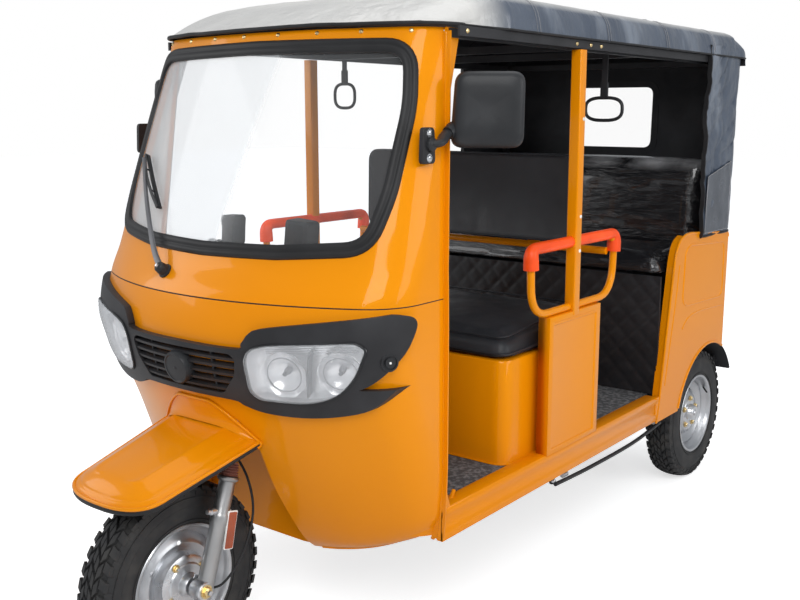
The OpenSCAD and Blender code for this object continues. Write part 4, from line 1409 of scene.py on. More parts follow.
def wiper():
    shape = Shape()
    pivot = on_shell(*WIPER_PIVOT)
    out = shell_normal(*WIPER_PIVOT)
    cap = [(-0.004, 0.0), (-0.004, 0.021), (0.004, 0.021), (0.006, 0.017), (0.018, 0.0165), (0.028, 0.0145),
           (0.032, 0.010), (0.033, 0.0)]
    shape.add(*lathe(cap, pivot, out, 32), BLACK_PLASTIC)
    stud = [(0.031, 0.0), (0.031, 0.006), (0.037, 0.005), (0.038, 0.0)]
    shape.add(*lathe(stud, pivot, out, 6), ALLOY)
    hinge = pivot + out * 0.022
    tip = on_shell(-0.395, 1.402, 0.030)
    knee = on_shell(-0.185, 1.170, 0.034)
    arm = smooth_line([hinge, knee, on_shell(-0.29, 1.287, 0.034), tip], 8)
    n = len(arm)
    rings = []
    for i, p in enumerate(arm):
        width = 0.0095 - 0.0055 * i / n
        along = (arm[min(n - 1, i + 1)] - arm[max(0, i - 1)]).normalized()
        flat = along.cross(out).normalized()
        top = flat.cross(along).normalized()
        rings.append([p + flat * a * width + top * b * 0.0035 for a, b in
                      ((-1, -1), (-0.8, 0.9), (0, 1.5), (0.8, 0.9), (1, -1))])
    shape.add(*loft(rings), CAST)
    blade_path = [on_shell(-0.412 + 0.0172 * k, 1.406 - 0.0142 * k, 0.0) for k in range(11)]
    normals = [shell_normal(p.x, p.z) for p in blade_path]
    rubber = [p + m * 0.010 for p, m in zip(blade_path, normals)]
    shape.add(*sweep(rubber, [(-0.0022, -0.009), (0.0022, -0.009), (0.004, 0.002), (-0.004, 0.002)],
                     up=tuple(normals[5])), RUBBER)
    spine = [p + m * (0.016 + 0.010 * math.sin(math.pi * k / 10))
             for k, (p, m) in enumerate(zip(blade_path, normals))]
    shape.add(*sweep(spine, [(-0.005, -0.0018), (0.005, -0.0018), (0.004, 0.002), (-0.004, 0.002)],
                     up=tuple(normals[5])), CHASSIS)
    for k in (0, 3, 7, 10):
        shape.add(*tube([rubber[k], spine[k]], 0.0026, 8), CHASSIS)
    shape.make("wiper_arm_and_blade", slot="steel_bright", replaces=("wiper",), sharp=40)


def mirror_head(side):
    """A moulded mirror shell with a crease, its glass facing back, on a stalk and a bolted bracket."""
    turn = Matrix.Translation((side * MIRROR_CENTRE.x, MIRROR_CENTRE.y, MIRROR_CENTRE.z)) \
        @ Matrix.Rotation(side * MIRROR_TURN, 4, "Z")
    outline = rounded([(-0.094, -0.098, 0), (0.098, -0.098, 0), (0.100, 0.098, 0), (-0.080, 0.098, 0)],
                      [0.036, 0.034, 0.034, 0.034], 7)
    if side < 0:
        outline = [Vector((-p.x, p.y, 0)) for p in outline][::-1]
    shape = Shape()
    face = []
    for scale, depth in ((0.0, -0.0235), (0.3, -0.0235), (0.6, -0.023), (0.84, -0.0205), (0.93, -0.0165),
                         (0.98, -0.009),
                         (1.0, 0.001), (1.0, 0.014), (0.985, 0.0205), (0.955, 0.0215), (0.945, 0.0175)):
        soft = 0.005 * max(0.0, 1.0 - max(0.0, scale - 0.8) / 0.2) if depth < 0 else 0.0
        line = []
        for p in outline:
            q = Vector((p.x * scale, p.y * scale, 0))
            push = soft * (0.5 + 0.5 * math.tanh((-0.010 - q.y) / 0.004))
            line.append(turn @ Vector((q.x, depth - push, q.y)))
        face.append(line)
    shape.add(*loft(face, caps=False), BLACK_PLASTIC)
    glass_ring = [turn @ Vector((p.x * 0.945, 0.0178, p.y * 0.945)) for p in outline]
    shape.add(glass_ring, [tuple(range(len(glass_ring)))], MIRROR)
    grip_end = turn @ Vector((side * -0.088, 0.0, -0.052))
    root = Vector((side * 0.574, -0.770, 1.460))
    stalk = smooth_line([root, root + Vector((side * 0.012, 0.02, 0.004)), grip_end.lerp(root, 0.35), grip_end,
                         grip_end + (turn.to_3x3() @ Vector((side * 0.03, 0, 0)))], 6)
    shape.add(*sweep(stalk, [(x * 1.25, y * 0.85) for x, y in circle(0.0125, 14)], up=(0, 0, 1)), BLACK_PLASTIC)
    shape.add(*lathe([(-0.02, 0.0), (-0.02, 0.017), (0.0, 0.021), (0.024, 0.019), (0.028, 0.013), (0.028, 0.0)],
                     grip_end, tuple((grip_end - root).normalized()), 24), BLACK_PLASTIC)
    plate = rounded([(-0.804, 1.410, 0), (-0.748, 1.410, 0), (-0.752, 1.502, 0), (-0.800, 1.502, 0)], 0.012, 4)
    rings = [[(side * x, p.x, p.y) for p in plate] for x in (0.557, 0.567)]
    rings.append([(side * 0.5695, -0.776 + (p.x + 0.776) * 0.93, 1.456 + (p.y - 1.456) * 0.95) for p in plate])
    shape.add(*loft(rings), BLACK_TRIM)
    for z in (1.425, 1.488):
        merge(shape, bolt((side * 0.569, -0.776, z), (side, 0, 0), 0.0075, 0.006))
    knuckle = [(0.0, 0.019), (0.010, 0.018), (0.016, 0.012), (0.018, 0.0)]
    shape.add(*lathe(knuckle, (side * 0.568, -0.772, 1.459), (side, 0, 0), 24), BLACK_PLASTIC)
    label = "left" if side > 0 else "right"
    shape.make(f"door_mirror_{label}", slot="plastic_black", replaces=("mirrors",) if side > 0 else (),
               sharp=38)


wiper()
for mirror_side in (-1, 1):
    mirror_head(mirror_side)

# ---------------------------------------------------------------- floor, sills and driver's place


def floor_and_sills():
    shape = Shape()
    front = [(p.x, p.y) for p in [shell_point(t, 0.462, -0.014) for t in FRONT_STEPS if abs(t) <= 2.0]
             if p.y > -0.840]
    left = sorted([q for q in front if q[0] < 0], key=lambda q: q[1], reverse=True)
    right = sorted([q for q in front if q[0] > 0], key=lambda q: q[1])
    outline = [(-0.520, 0.722), (-0.520, -0.700)] + left + right + [(0.520, -0.700), (0.520, 0.722)]
    shape.add(*prism(outline, 2, 0.4425, 0.4635), FLOOR_MAT)
    shape.make("floor_mat", slot="floor_mat", replaces=("floor_pan",), bevel=0.0015)
    sills = Shape()
    for side in (-1, 1):
        section = [(0.580, 0.374), (0.580, 0.398), (0.5775, 0.402), (0.5775, 0.440), (0.580, 0.444),
                   (0.580, 0.458),
                   (0.577, 0.4655), (0.571, 0.468), (0.531, 0.468), (0.526, 0.4655), (0.524, 0.461),
                   (0.524, 0.4645),
                   (0.521, 0.4635), (0.521, 0.4615), (0.528, 0.459), (0.571, 0.461), (0.574, 0.458),
                   (0.574, 0.378), (0.560, 0.378), (0.560, 0.374)]
        rings = [[(side * x, y, z) for x, z in section] for y in (-0.722, 0.686)]
        sills.add(*loft(rings), ORANGE)
        end = [(side * 0.560, 0.670), (side * 0.5795, 0.670), (side * 0.5795, 0.700), (side * 0.560, 0.700)]
        sills.add(*prism(end, 2, 0.374, 0.466), ORANGE)
    sills.make("side_sills", slot="body_orange", replaces=("sills",), sharp=50, bevel=0.0012)


def seat_box():
    """The orange box under the driver, its front corners rounded and its top edge turned in."""
    shape = Shape()
    outline = rounded(rect(-0.521, -0.320, 0.521, 0.182),
                      [0.055, 0.055, 0.004, 0.004], 8)
    rings = []
    for z, inset in ((0.464, 0.0), (0.466, -0.002), (0.475, 0.0), (0.785, 0.0), (0.792, 0.003), (0.795, 0.010),
                     (0.7955, 0.03)):
        ring = []
        for p in outline:
            q = Vector((p.x * (1 - inset / 0.52), -0.069 + (p.y + 0.069) * (1 - inset / 0.25), z))
            ring.append(q)
        rings.append(ring)
    shape.add(*loft(rings), ORANGE)
    flange = [Vector((p.x * 1.012, -0.069 + (p.y + 0.069) * 1.02, 0.4655)) for p in outline]
    shape.add(*tube(flange, 0.003, 8, closed=True), ORANGE)
    shape.make("driver_seat_box_pressing", slot="body_orange", replaces=("driver_seat_box",), sharp=40)


CLOTH_FRAMES = 14


def cloth_pad(name, source, replaces, material, voxel, pressure, cap):
    """Blows a pad up a little with a cloth simulation, capped, and smooths it."""
    verts, faces = source
    pad = loose(verts, faces, material, name)
    remesh = pad.modifiers.new("remesh", "REMESH")
    remesh.mode = "VOXEL"
    remesh.voxel_size = voxel
    apply_modifiers(pad)
    start = [v.co.copy() for v in pad.data.vertices]
    cloth = pad.modifiers.new("cloth", "CLOTH")
    cloth.settings.use_pressure = True
    cloth.settings.uniform_pressure_force = pressure
    cloth.settings.effector_weights.gravity = 0
    cloth.settings.quality = 4
    cloth.point_cache.frame_start, cloth.point_cache.frame_end = 1, CLOTH_FRAMES
    bottom = min(v.z for v in start)
    group = pad.vertex_groups.new(name="held")
    held = [i for i, v in enumerate(start) if v.z < bottom + voxel * 1.2]
    group.add(held, 1.0, "REPLACE")
    cloth.settings.vertex_group_mass = "held"
    for step in range(1, CLOTH_FRAMES + 1):
        bpy.context.scene.frame_set(step)
    apply_modifiers(pad)
    bpy.context.scene.frame_set(1)
    for v, rest in zip(pad.data.vertices, start):
        move = v.co - rest
        if move.length > cap:
            v.co = rest + move.normalized() * cap
    pad.data.materials.clear()
    pad.data.materials.append(material)
    smooth = pad.modifiers.new("smooth", "SMOOTH")
    smooth.factor, smooth.iterations = 0.5, 4
    apply_modifiers(pad)
    shade(pad, 60)
    finish_piece(pad, "body", replaces)
    return pad


def pad_box(outline, low, high, crown=0.0):
    """A pad over an outline in x and y: rounded top edges, sides drawn in between its corners, top crowned."""
    rings = []
    (x0, y0), (x1, y1) = outline
    cx, cy, hx, hy = (x0 + x1) / 2, (y0 + y1) / 2, (x1 - x0) / 2, (y1 - y0) / 2
    count, steps, radius = 96, 10, 0.03
    levels = [(0.0, 0.985), (0.06, 1.0), (0.55, 1.0)]
    levels += [(0.55 + 0.45 * math.sin(a * math.pi / 2 / steps),
                1 - radius / hy * (1 - math.cos(a * math.pi / 2 / steps)))
               for a in range(1, steps + 1)]
    levels += [(1.0, s) for s in (0.8, 0.6, 0.4, 0.2)]
    for level, scale in levels:
        ring = []
        for k in range(count):
            a = 2 * math.pi * k / count
            c, s = math.cos(a), math.sin(a)
            r = (abs(c) ** 14 + abs(s) ** 14) ** (-1 / 14)
            x, y = cx + hx * scale * c * r, cy + hy * scale * s * r
            bulge = 0
            if level > 0.6:
                bulge = crown * max(0.0, 1 - ((x - cx) / hx) ** 2) * max(0.0, 1 - ((y - cy) / hy) ** 2)
            top = high(x, y) if callable(high) else high
            ring.append((x, y, low + (top - low) * level + bulge))
        rings.append(ring)
    return loft(rings)


def cushion_top(y):
    """Height of the driver's cushion, which slopes down towards the front."""
    return 0.858 + 0.085 * (y + 0.32)


def driver_seat():
    cloth_pad("driver_seat_cushion_pad",
              pad_box(((-0.518, -0.322), (0.518, 0.188)), 0.800, lambda x, y: cushion_top(y), 0.012),
              ("driver_seat_cushion",), SEAT_VINYL, 0.012, 4, 0.010)
    seams = Shape()
    low = rounded(rect(-0.524, -0.328, 0.524, 0.194), 0.03, 6)
    seams.add(*tube([Vector((p.x, p.y, 0.818)) for p in low], 0.0035, 8, closed=True), SEAT_VINYL)
    top = rounded(rect(-0.500, -0.302, 0.500, 0.170), 0.04, 6)
    seams.add(*tube([Vector((p.x, p.y, cushion_top(p.y) + 0.0035)) for p in top], 0.003, 8, closed=True),
              SEAT_VINYL)
    seams.make("driver_seat_piping", slot="vinyl_black")
    rings = []
    for depth, scale in ((0.205, 0.955), (0.2005, 0.975), (0.204, 0.995), (0.214, 1.0), (0.234, 1.0),
                         (0.242, 0.99), (0.245, 0.97)):
        outline = rounded([(-0.455 * scale, -0.150 * scale, 0), (0.455 * scale, -0.150 * scale, 0),
                           (0.450 * scale, 0.150 * scale, 0), (-0.450 * scale, 0.150 * scale, 0)], 0.045, 8)
        rings.append([Vector((p.x, depth, 1.250 + p.y)) for p in outline])
    back = Shape()
    back.add(*loft(rings), SEAT_VINYL)
    pad = back.make("driver_backrest_pad", slot="vinyl_black", replaces=("driver_backrest",), sharp=55)
    trims = Shape()
    edge = rounded([(-0.452, -0.147, 0), (0.452, -0.147, 0), (0.447, 0.147, 0), (-0.447, 0.147, 0)], 0.045, 8)
    trims.add(*tube([Vector((p.x, 0.2035, 1.250 + p.y)) for p in edge], 0.0032, 8, closed=True), SEAT_VINYL)
    trims.make("driver_backrest_piping", slot="vinyl_black")
    frame_piece = Shape()
    frame_piece.add(*tube([(x, 0.272, 1.075) for x in (-0.548, 0, 0.548)], 0.0128, 20), ORANGE)
    for side in (-1, 1):
        strip = [(side * 0.265, 0.263, 1.066 + 0.02 * k) for k in range(13)]
        frame_piece.add(*sweep(strip, bar_section(0.024, 0.0015),
                               up=(0, 1, 0)), ORANGE)
        for z in (1.15, 1.28):
            merge(frame_piece, bolt((side * 0.265, 0.2645, z), (0, 1, 0)))
    frame_piece.make("backrest_cross_tube", slot="body_orange", replaces=("backrest_frame",), sharp=45)


def side_frames():
    """The box panel, post and bent rail loop with its grip, on each side."""
    box, rails, grips = Shape(), Shape(), Shape()
    for side in (-1, 1):
        outer, depth = 0.5815, 0.0045
        y0, y1, z0, z1 = -0.160, 0.176, SILL_TOP + 0.003, 0.912
        rim, inner = 0.026, 0.030
        rings = []
        for x, inset in ((outer - 0.040, 0), (outer, 0), (outer, rim), (outer - depth, inner)):
            rings.append([(side * x, y0 + inset, z0 + inset * 0.6), (side * x, y1 - inset, z0 + inset * 0.6),
                          (side * x, y1 - inset, z1 - inset), (side * x, y0 + inset, z1 - inset)])
        box.add(*loft(rings), ORANGE)
        back = [[(side * x, y0, z0), (side * x, y1, z0), (side * x, y1, z1), (side * x, y0, z1)]
                for x in (0.5405, 0.5415)]
        box.add(*loft(back), ORANGE)
        # lid line pressed across the panel's top
        line = [(side * (outer + 0.0004), y0 + 0.034 + (y1 - y0 - 0.068) * k / 8, 0.893) for k in range(9)]
        box.add(*tube(line, 0.0012, 6), ORANGE)
        post = [(side * x, y) for x, y in ((0.548, -0.014), (0.584, -0.014), (0.584, 0.024), (0.548, 0.024))]
        if side < 0:
            post = post[::-1]
        box.add(*prism([(p.x, p.y) for p in rounded([(a, b, 0) for a, b in post], 0.005, 3)], 2, 0.900, 1.7305),
                ORANGE)
        for z in (1.105, 1.215, 1.520):
            box.add(*lathe([(0, 0), (0.0, 0.006), (0.002, 0.0055), (0.0025, 0.0)], (side * 0.584, 0.012, z),
                           (side, 0, 0), 16),
                    PALE)
        corners = [(-0.246, 0.925), (0.288, 0.925), (0.300, 1.135), (-0.252, 1.135)]
        loop = rounded([(side * RAIL_X, y, z) for y, z in corners], [0.100, 0.100, 0.062, 0.062], 9)
        rails.add(*tube(loop, 0.0125, 16, closed=True), ORANGE)
        hold = rounded([(side * RAIL_X, -0.250, 1.073), (side * RAIL_X, -0.2525, 1.135),
                        (side * RAIL_X, 0.301, 1.135),
                        (side * RAIL_X, 0.297, 1.073)], [0, 0.058, 0.058, 0], 9, closed=False)
        rings = []
        n, across = len(hold), Vector((1, 0, 0))
        for i, p in enumerate(hold):
            along = (hold[min(n - 1, i + 1)] - hold[max(0, i - 1)]).normalized()
            top = across.cross(along).normalized()
            swell = 1.0 + 0.30 * max(0.0, 1 - min(i, n - 1 - i) / 9)
            rings.append([p + across * a * swell + top * b * swell for a, b in circle(0.0185, 16)])
        grips.add(*loft(rings), GRIP_RED)
    box.make("side_box_panels_and_posts", slot="body_orange", replaces=("centre_posts",), sharp=40,
             bevel=0.0015)
    rails.make("handrail_loops", slot="body_orange", replaces=("handrails",))
    grips.make("handrail_grip_sleeves", slot="grip_red", replaces=("handrail_grips",))


# ---------------------------------------------------------------- passenger bench


def bench():
    """The bench's front, quilted in diamonds 60 mm across, and its two pads under film."""
    front = Shape()
    columns, rows = 120, 50
    pitch, half, low, tall = 0.060, 0.552, 0.466, 0.46

    def quilt_depth(x, z):
        a = abs(math.sin(math.pi * (x + z) / pitch * 0.7071))
        b = abs(math.sin(math.pi * (x - z) / pitch * 0.7071))
        return 0.006 * min(1.0, 1.6 * min(a, b)) ** 0.6
    grid = [[Vector((x, 0.7245 - quilt_depth(x, z), z))
             for x in (-half + 2 * half * i / columns for i in range(columns + 1))]
            for z in (low + tall * j / rows for j in range(rows + 1))]
    verts, faces = loft(grid, closed=False)
    front.add(verts, faces, QUILT_PANEL)
    front.add(*box_mesh((-half, 0.7246, 0.464), (half, 0.736, 0.926)), LINING)
    front.add(*box_mesh((-0.397, 0.7365, 0.464), (0.397, 1.325, 0.926)), LINING)
    front.make("bench_front_quilting", slot="quilted_black", replaces=("rear_bench_base",), sharp=30)
    seat = cloth_pad("passenger_seat_cushion",
                     pad_box(((-0.535, 0.728), (0.535, 1.150)), 0.930, 1.000, 0.010), ("rear_bench_cushion",),
                     WRAP, 0.014, 4, 0.012)
    crease_film(seat, 0.004, 38)
    verts, faces = pad_box(((-0.535, -0.215), (0.535, 0.215)), 0.0, 0.115, 0.022)
    lean = Matrix.Translation((0, 1.292, 1.150)) @ Matrix.Rotation(math.radians(90 - 5), 4, "X")
    back = cloth_pad("passenger_backrest_pad", ([lean @ Vector(v) for v in verts], faces),
                     ("rear_bench_backrest",), WRAP, 0.014, 4, 0.012)
    crease_film(back, 0.004, 30)


def crease_film(piece, depth, frequency):
    """Creases of a loose plastic film: sharp ridges running mostly along the seat."""
    random.seed(7)
    waves = [(random.uniform(0.35, 1.0) * frequency, random.uniform(-1, 1) * frequency * 0.9,
              random.uniform(0.4, 1.2) * frequency, random.uniform(0, 6.28)) for _ in range(7)]
    piece.data.update()
    for v in piece.data.vertices:
        p, n = v.co, v.normal
        total = sum(1 - abs(math.sin(0.35 * a * p.x + b * p.y + c * p.z + d)) ** 0.5
                    for a, b, c, d in waves) / 7
        v.co = p + n * depth * (total - 0.3)


QUILT_PANEL = vinyl("quilt_panel", (0.014, 0.014, 0.016), 0.4)
floor_and_sills()
seat_box()
driver_seat()
side_frames()
bench()

# ---------------------------------------------------------------- canopy

CANOPY_HALF = 0.588
CROWN_Z = 1.880
ROOF_FRONT_Y = -0.420
ROOF_BACK_Y = 1.400
SECTION = [(1.0, 0.0), (0.998, 0.022), (0.992, 0.045), (0.980, 0.064), (0.958, 0.081), (0.925, 0.093),
           (0.870, 0.102), (0.780, 0.108), (0.640, 0.1125), (0.440, 0.1155), (0.220, 0.117), (0.0, 0.1173)]
BOWS = [-0.420, 0.030, 0.500, 0.950, 1.320]
SEAMS = [-0.270, 0.170, 0.620, 1.060]


def wrinkle(p, scale, depth, seed=0.0):
    q = Vector((p[0] * scale + seed, p[1] * scale * 1.3, p[2] * scale * 0.7))
    ridge = 1 - abs(noise.noise(q)) * 2.2
    return depth * (max(0.0, ridge) ** 2 + 0.5 * noise.noise(q * 2.3))


def fold(p, seed=0.0):
    """Slack folds that run diagonally, as share of their depth."""
    along, across = p[1] + p[2] * 0.8, p[1] * 0.8 - p[2]
    bend = noise.noise(Vector((p[1] * 3, p[2] * 3, seed))) * 0.25
    ridge = 1 - abs(noise.noise(Vector((along * 1.6 + seed, across * 9 + bend * 4, seed)))) * 3.0
    return max(0.0, ridge) ** 2


def section_curve():
    """The roof's cross-section from hem to hem over the crown, as shares of the half width and height."""
    half = smooth_line([(a, b, 0) for a, b in SECTION], 4)
    right = [(p.x, p.y) for p in half]
    return right + [(-a, b) for a, b in right[-2::-1]]


def roof_point(share, y):
    """share is a point of section_curve; y runs from the front bow to the back."""
    a, b = share
    half = CANOPY_HALF - 0.006 * max(0.0, 1 - (y - ROOF_FRONT_Y) / 1.2)
    height = b * (CROWN_Z - HEM_Z) / SECTION[-1][1]
    nearest = min(BOWS, key=lambda v: abs(v - y))
    sag = 0.007 * min(1.0, abs(y - nearest) / 0.2) ** 2
    back = max(0.0, (y - 1.270) / (ROOF_BACK_Y - 1.270))
    height *= 1 - 0.50 * back ** 2.2
    side_sag = 0.003 * math.sin(math.pi * min(1.0, b / 0.1)) if b < 0.1 else sag
    seam = 0.0016 * math.exp(-(min(abs(y - s) for s in SEAMS) / 0.006) ** 2)
    x = a * half
    if b < 0.1:
        x -= math.copysign(side_sag - seam, a)
    z = HEM_Z + height - (sag if b >= 0.1 else 0) + (seam if b > 0.06 else 0)
    return Vector((x, y, z))


def slack(p):
    """How loose the cloth lies: most at the rear corners."""
    return max(0.12 if abs(p[0]) > 0.5 else 0.0, min(1.0, (p[1] - 1.02) / 0.25))


def canopy():
    curve = section_curve()
    n = len(curve)
    edge = []
    for k in range(n):
        s = -1 + 2 * k / (n - 1)
        t = -s * 2.3
        p = shell_point(t, 1.758, 0.013)
        edge.append(Vector((p.x, min(p.y, -0.46) if abs(t) > 2 else p.y, HEM_Z + 0.002)))
    rings = []
    steps = 22
    start = [roof_point(c, ROOF_FRONT_Y) for c in curve]
    for j in range(steps):
        s = j / steps
        rise = math.sin(s * math.pi / 2) ** 0.92
        ring = []
        for e, p in zip(edge, start):
            ring.append(Vector((e.x + (p.x - e.x) * s, e.y + (p.y - e.y) * s, e.z + (p.z - e.z) * rise)))
        rings.append(ring)
    ys = [ROOF_FRONT_Y + (ROOF_BACK_Y - ROOF_FRONT_Y) * k / 120 for k in range(121)]
    ys = sorted(set(ys + [s + d for s in SEAMS for d in (-0.009, -0.004, 0.0, 0.004, 0.009)]))
    for y in ys:
        rings.append([roof_point(c, y) for c in curve])
    # the back of the roof turns down over the rear curtain
    last = rings[-1]
    for drop in (0.012, 0.03, 0.055, 0.075):
        ring = []
        for p in last:
            floor_z = HEM_Z - 0.030
            z = max(min(p.z, floor_z), p.z - drop * 1.2) if p.z > floor_z else p.z
            ring.append(Vector((p.x, p.y + 0.004 * min(1.0, drop / 0.03), z)))
        rings.append(ring)
    shaped = []
    for ring in rings:
        line = []
        for i, p in enumerate(ring):
            side_part = abs(p.x) > 0.5
            amount = 0.0035 if side_part else 0.0022
            if p.y > 1.2:
                amount *= 2.2
            push = wrinkle(p, 4.5, amount) - 0.007 * slack(p) * fold(p, 2.0)
            line.append(p + (Vector((math.copysign(push, p.x), 0, 0)) if side_part else Vector((0, 0, push))))
        shaped.append(line)
    verts, faces = loft(shaped, closed=False)
    mesh = bpy.data.meshes.new("canopy_roof_cloth")
    mesh.from_pydata([tuple(v) for v in verts], [], faces)
    mesh.materials.append(CANOPY)
    mesh.materials.append(LINING)
    roof = linked(mesh, "canopy_roof_cloth")
    tidy_normals(mesh)
    area = sum(p.area for p in mesh.polygons)
    face_out(roof, Vector((0, 0.3, 1.2)))
    thicken(roof, CLOTH_THICKNESS)
    shade(roof, 60)
    finish_piece(roof, "body", ("canopy_roof",))
    width = sum((a - b).length for a, b in zip(shaped[60], shaped[60][1:]))
    length = sum((a[n // 2] - b[n // 2]).length for a, b in zip(shaped, shaped[1:]))
    length = max(length, area / width)
    trims = Shape()
    front = [p + Vector((0, -0.001, 0.0)) for p in shaped[0]]
    trims.add(*tube(front, 0.0055, 10), RUBBER)
    for i in (0, -1):
        hem = [ring[i] for ring in shaped[:-4]]
        trims.add(*tube(hem, 0.0035, 8), RUBBER)
    for seam in SEAMS:
        for d in (-0.008, 0.008):
            line = [roof_point(c, seam + d) for c in curve]
            line = [p + Vector((math.copysign(0.0012, p.x), 0, 0) if abs(p.x) > 0.5 else (0, 0, 0.0012))
                    for p in line]
            line = [p + (Vector((math.copysign(wrinkle(p, 4.5, 0.0035), p.x), 0, 0)) if abs(p.x) > 0.5
                         else Vector((0, 0, wrinkle(p, 4.5, 0.0022)))) for p in line]
            trims.add(*tube(line, 0.0009, 5), STITCH)
    trims.make("canopy_edge_piping", slot="rubber_black")
    rivets = Shape()
    dome = [(0.0, 0.0065), (0.001, 0.006), (0.0035, 0.004), (0.0045, 0.0)]
    for k in range(8):
        x = -0.47 + 0.94 * k / 7
        place = on_shell(x, 1.7475, 0.0)
        rivets.add(*lathe(dome, place, shell_normal(x, 1.745), 16), BRASS)
    for side in (-1, 1):
        for y in (-0.62, -0.03, 0.06, 0.13):
            rivets.add(*lathe(dome, (side * 0.5765, y, HEM_Z - 0.016), (side, 0, 0), 16), BRASS)
    rivets.make("canopy_rivets", slot="steel_bright")
    band = Shape()
    for side in (-1, 1):
        strip = [(side * 0.5725, -0.655 + 0.1 * k, HEM_Z - 0.016) for k in range(18)]
        band.add(*sweep(strip, bar_section(0.0035, 0.013),
                        up=(0, 0, 1)), CHASSIS)
    band.make("canopy_side_rails", slot="chassis_black")


def face_out(piece, middle):
    """Turns the faces of an open sheet so that they look away from middle."""
    mesh = piece.data
    score = sum(p.area * (p.center - middle).dot(p.normal) for p in mesh.polygons)
    if score < 0:
        mesh.flip_normals()


def thicken(piece, thickness):
    """Gives a sheet its thickness; the inner side takes the piece's second material."""
    modifier = piece.modifiers.new("thickness", "SOLIDIFY")
    modifier.thickness = thickness
    modifier.offset = -1
    modifier.material_offset = 1
    apply_modifiers(piece)


def curtain():
    """Side and rear curtain: one sheet from the left front edge round the back to the right one."""
    side_x, front_y, back_y = 0.5835, 1.024, 1.366
    path = rounded([(side_x, front_y, 0), (side_x, back_y, 0), (-side_x, back_y, 0), (-side_x, front_y, 0)],
                   [0, 0.055, 0.055, 0], 8, closed=False)
    dense = []
    for a, b in zip(path, path[1:]):
        count = max(1, round((b - a).length / 0.0125))
        dense += [a.lerp(b, k / count) for k in range(count)]
    dense.append(path[-1])
    window_x, window_z = 0.200, (1.380, 1.660)
    low, high = 1.052, 1.800
    rows = 62

    def lean_back(z):
        """How far the curtain's back leans out at a height."""
        return 0.026 * (z - low) / (HEM_Z - low)
    rings = []
    for j in range(rows + 1):
        z = low + (high - low) * j / rows
        ring = []
        for p in dense:
            share = max(0.0, min(1.0, (p.y - front_y) / (back_y - front_y)))
            q = Vector((p.x, p.y + lean_back(z) * share, z))
            near_top = max(0.0, (z - 1.62) / 0.18)
            calm = 0.25 if abs(q.x) < window_x + 0.05 and p.y > 1.35 else 1.0
            push = wrinkle(q, 5.0, 0.006 * calm * (1 + near_top), 3.0)
            push += wrinkle(Vector((q.x, q.y, q.z * 2.2)), 11, 0.0018 * calm, 8.0)
            loose_share = 0.9 if abs(q.x) > 0.5 else 0.35
            push -= 0.009 * loose_share * fold(q, 5.0)
            push -= 0.005 * loose_share * max(0.0,
                                              1 - 3 * abs(noise.noise(Vector((q.y * 13, q.z * 1.6, 4.0))))) ** 2
            push = max(-0.012, min(0.006, push - 0.001))
            if q.y < 1.06:
                q = q + Vector((0, 0.008 * noise.noise(Vector((q.x, 3.0, q.z * 2.2))) * (1.06 - q.y) / 0.035,
                                0))
            away = Vector((math.copysign(1, q.x), 0, 0)) if p.y < 1.31 else Vector((0, 1, 0))
            ring.append(q + away * push)
        rings.append(ring)
    verts, faces = loft(rings, closed=False)
    keep = []
    for f in faces:
        c = sum((Vector(verts[i]) for i in f), Vector()) / 4
        if c.y > 1.33 and abs(c.x) < window_x and window_z[0] < c.z < window_z[1]:
            continue
        keep.append(f)
    mesh = bpy.data.meshes.new("canopy_rear_curtain")
    mesh.from_pydata([tuple(v) for v in verts], [], keep)
    mesh.materials.append(CANOPY)
    mesh.materials.append(LINING)
    cloth = linked(mesh, "canopy_rear_curtain")
    tidy_normals(mesh)
    face_out(cloth, Vector((0, 1.1, 1.4)))
    thicken(cloth, CLOTH_THICKNESS)
    shade(cloth, 60)
    finish_piece(cloth, "body", ("canopy_curtain",))
    trims = Shape()
    for i in (0, -1):
        edge = [ring[i] for ring in rings]
        trims.add(*sweep(edge, bar_section(0.0035, 0.008), up=(1, 0, 0)),
                  RUBBER)
    trims.add(*tube(rings[0], 0.0048, 8), RUBBER)
    # stitched pocket patch low on each side
    for side in (-1, 1):
        grid = []
        for j in range(19):
            s = j / 18
            row = []
            for k in range(19):
                y = 1.050 + 0.245 * k / 18
                top = 1.290 + 0.055 * k / 18
                z = 1.066 + (top - 1.066) * s
                ripple = 0.0045 * noise.noise(Vector((y * 30, z * 7, 6.0)))
                row.append(Vector((side * (0.5885 + ripple), y + lean_back(z), z)))
            grid.append(row)
        trims.add(*loft(grid, closed=False, caps=False), POCKET)
        back_grid = [[p - Vector((side * 0.0015, 0, 0)) for p in row] for row in grid]
        trims.add(*loft(back_grid[::-1], closed=False, caps=False), POCKET)
        border = grid[0] + [row[-1] for row in grid[1:-1]] + grid[-1][::-1] + [row[0] for row in grid[-2:0:-1]]
        trims.add(*tube(border, 0.0016, 6, closed=True), STITCH)
    trims.make("canopy_curtain_piping", slot="rubber_black")
    window = Shape()
    outline = rounded(rect(-0.206, 1.374, 0.206, 1.666), 0.052, 8)
    loop = [Vector((p.x, back_y + lean_back(p.y) - 0.001, p.y)) for p in outline]
    window.add(*sweep(loop, bar_section(0.015, 0.0035), closed=True,
                      caps=False, up=(0, 1, 0)), LINING)
    window.make("rear_window_border", slot="canopy_vinyl")
    pane = [[Vector((p.x, back_y + lean_back(p.y) - d, p.y)) for p in outline] for d in (0.0005, 0.0012)]
    glass_piece = Shape()
    glass_piece.add(*loft(pane), PANE)
    glass_piece.make("rear_window_pane", slot="clear_glass", replaces=("rear_window",))


